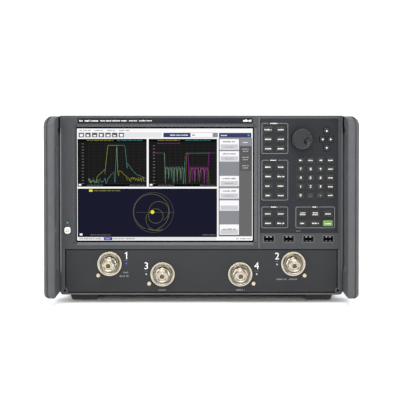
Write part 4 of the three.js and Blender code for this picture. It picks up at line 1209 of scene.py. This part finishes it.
def make_port_panel_details():
    face = PANEL_LOW.y
    marks = Solid()
    lamps = Solid()
    for number, (x, h) in PORT_NUMBERS.items():
        if number == 1:
            printed(marks, [(x + u, up(h) + v) for u, v in ONE], face)
        else:
            marks.add_mesh(figures(str(number), x, up(h), 10.3, face - 0.05, 0.14, -0.06))
        word_bars(marks, x, up(h) - 7.6, 5.4, 0.7, face, 1, seed=500 + number)
        lamp_z = up(h) - 12.1
        lens = raised(face, [(0.4, -0.7), (1.2, -0.5), (1.3, 0), (1.3, 0.4)])
        lamps.turned(x, lamp_z, lens, 24, 0 if number == 1 else 1)
    for x, h, width, seed in ((-114.3, 33.5, 7, 1), (-116.6, 28.0, 13.5, 2), (-58.5, 7.1, 13, 4),
                              (59, 7.1, 13, 5), (121, 23.3, 16, 6), (138.6, 23.3, 13, 7)):
        word_bars(marks, x, up(h), width, 2.4, face, 2, seed=510 + seed)
    marks.make("port_panel_print", [PRINT, GREY_PRINT, DIM_PRINT], slot="white_plastic")
    lamps.make("port_lamps", [LED_BLUE, LED_OFF], slot="white_plastic")
    bushes = Solid()
    for x, h in BUSHES:
        dome = raised(face, [(0.5, -1), (0.9, -1.3), (2.4, -1.3), (2.9, -0.9), (3, 0.3)])
        bushes.turned(x, up(h), dome, 36)
    bushes.make("alignment_bushes", [CREAM_METAL], slot="nickel", sharp=30)


# ---- screws ----

def screw(solid, place, facing, radius=2.4, rise=1.0):
    """A round head with a six-sided socket, its axis along the facing direction."""
    turn = Vector((0, -1, 0)).rotation_difference(Vector(facing))
    solid.pose = Matrix.Translation(place) @ turn.to_matrix().to_4x4()
    steps = 24
    socket = radius * 0.5
    edge = circle(0, 0, radius, steps)
    solid.stack([(many_sided(0, 0, socket * 0.98, 6, steps), -rise * 0.35),
                 (many_sided(0, 0, socket, 6, steps), -rise),
                 (circle(0, 0, radius * 0.8, steps), -rise), (edge, -rise * 0.6), (edge, 0.2)])
    solid.pose = Matrix.Identity(4)


make_front()
make_display()
make_handles()
make_handle_spacers()
make_key_rows()
make_preset_key()
make_arrow_keys()
make_knob()
make_power_button()
make_outlines()
make_sockets()
for port in PORTS:
    make_port(port)
make_port_panel_details()


# ---- the rest of the case ----

def dress_case():
    dress("outer_cover", COVER, 0.3)
    for node in ("rear_panel", "chassis_tray"):
        dress(node, STEEL, 0.25)
    for node in ("power_supply", "test_set_deck", "drive_tray"):
        dress(node, ALUMINIUM, 0.4)
    for node in ("main_board", "front_panel_board"):
        dress(node, BOARD, 0.2)
    for node in ("power_inlet", "fan_frame", "fan_rotor"):
        dress(node, BLACK, 0.3)
    for side in ("left", "right"):
        dress(f"tilt_leg_{side}", BLACK, 0.5)
        for place in ("front", "rear"):
            dress(f"foot_{place}_{side}", RUBBER, 0.9, 3)
        for place in ("top", "bottom"):
            dress(f"bumper_{place}_{side}", BUMPER, 1.2, 3)


REAR_FACE = REAR_HIGH.y
EDGE_SCREW_X = 206
SOCKET_WALL = 1.1


def make_screws():
    """Screws that hold the cover, the rear panel and the bumpers."""
    screws = Solid()
    for side in (-1, 1):
        x = side * COVER_HIGH.x
        for y in (-190, 20, 250):
            for z in (up(16), up(238)):
                screw(screws, (x, y, z), (side, 0, 0), 3.2, 0.9)
    for x in (-150, -90, -30, 30, 90, 150):
        for z in (REAR_LOW.z + 6, REAR_HIGH.z - 6):
            screw(screws, (x, REAR_FACE, z), (0, 1, 0), 2.4, 0.9)
    for x in (EDGE_SCREW_X, -EDGE_SCREW_X):
        for z in (up(90), up(150), up(196)):
            screw(screws, (x, REAR_FACE, z), (0, 1, 0), 2.4, 0.9)
    screws.make("case_screws", [SHELL_STEEL], slot="sheet_steel", sharp=30)


def facing_back(x, z):
    """Turns a shape drawn at the origin, facing the front, round onto the rear panel."""
    return Matrix.Translation((x, REAR_FACE, z)) @ Matrix.Rotation(math.pi, 4, "Z")


def coaxial_socket(solid, x, z):
    """A bayonet socket on the rear panel: flange nut, barrel with two lugs, and its contact."""
    radius, reach = 4.8, 11
    solid.pose = facing_back(x, z)
    nut = many_sided(0, 0, radius + 2.4, 6)
    solid.stack([(circle(0, 0, radius + 0.6), -2.8), (nut, -2.6), (nut, 0)])
    solid.hoop(0, 0, [(radius - 1.3, -2), (radius - 1.3, -reach + 0.3), (radius - 1.0, -reach),
                      (radius - 0.3, -reach), (radius, -reach + 0.4), (radius, -2)], 40)
    for side in (-1, 1):
        solid.slab(*centred(side * radius, 0, 1.8, 1.8), 2 - reach, 3.8 - reach)
    solid.turned(0, 0, [(1.5, 2.4 - reach), (2.1, 2.8 - reach), (2.1, -2.6)], 24, 1)
    solid.turned(0, 0, [(0.3, 1.4 - reach), (0.6, 1.8 - reach), (0.6, -2.6)], 16, 2)
    solid.pose = Matrix.Identity(4)


def panel_socket(solid, x, z, width, height, reach=1.6):
    """A square-mouthed socket on the rear panel, with its dark inside."""
    sides = centred(x, z, width, height)
    solid.ring(grown(sides, 0, 0.8), grown(sides, -SOCKET_WALL, 0.4), REAR_FACE - 0.1, REAR_FACE + reach)
    solid.slab(*grown(sides, -0.2, 0)[:4], REAR_FACE - 0.05, REAR_FACE + 0.3, 1)


UPPER_SOCKETS = (-52, -26, 0, 26, 52)
LOWER_SOCKETS = (-40, -13, 14, 41)
CARD_PITCH = 23.2


def make_rear_connectors():
    sockets = Solid()
    for row, height in ((UPPER_SOCKETS, 118), (LOWER_SOCKETS, 84)):
        for x in row:
            coaxial_socket(sockets, x, up(height))
    sockets.make("rear_coaxial_sockets", [NICKEL, WHITE_PLASTIC, GOLD], slot="nickel", sharp=30)
    cards = Solid()
    for i in range(5):
        x0 = -57.4 + CARD_PITCH * i
        cards.cushion(x0, x0 + 22, up(151.6), up(177.4), 0.8,
                      raised(REAR_FACE, [(0, -0.45), (0, 0.5), (0.3, 0.8)]))
    cards.make("rear_card_plates", [ALUMINIUM], slot="inner_aluminium")
    card_sockets = Solid()
    for i, width in enumerate((14, 12, 15, 15, 9)):
        x = -46.4 + CARD_PITCH * i
        panel_socket(card_sockets, x, up(166), width, 12, 2.2)
        screw(card_sockets, (x, REAR_FACE + 0.8, up(154.8)), (0, 1, 0), 1.8, 0.9)
    card_sockets.make("rear_card_sockets", [SHELL_STEEL, DEEP_BLACK], slot="nickel")

    ports = Solid()
    for x, width, height in ((-46, 34, 12), (-4, 17, 14), (24, 14, 7), (48, 14, 7)):
        panel_socket(ports, x, up(46), width, height)
    for x in (-66, -26):
        screw(ports, (x, REAR_FACE, up(46)), (0, 1, 0), 2.2, 1.6)
    ports.make("rear_sockets", [SHELL_STEEL, DEEP_BLACK], slot="nickel")
    post = Solid()
    post.pose = facing_back(178, up(84))
    post.turned(0, 0, [(1.6, -13), (2.0, -12.6), (2.0, -8.2), (5.4, -8), (5.6, -7.4), (5.6, -3), (5.2, -2.6),
                       (2.4, -2.4), (2.4, 0)], 36)
    post.make("ground_post", [NICKEL], slot="nickel", sharp=30)
    caption = Solid()
    caption.pose = facing_back(0, 0)
    for row, height, seed in ((UPPER_SOCKETS, 130.5, 600), (LOWER_SOCKETS, 96, 610)):
        for i, x in enumerate(row):
            word_bars(caption, -x, up(height), 15, 1.6, 0, seed=seed + i)
    others = ((-150, 66, 40, 1.8, 620), (46, 57, 20, 1.6, 621), (-36, 55, 22, 1.6, 622))
    for x, height, width, size, seed in others:
        word_bars(caption, x, up(height), width, size, 0, seed=seed)
    caption.make("rear_captions", [DIM_PRINT], slot="black_plastic")


dress_case()
make_screws()
make_rear_connectors()
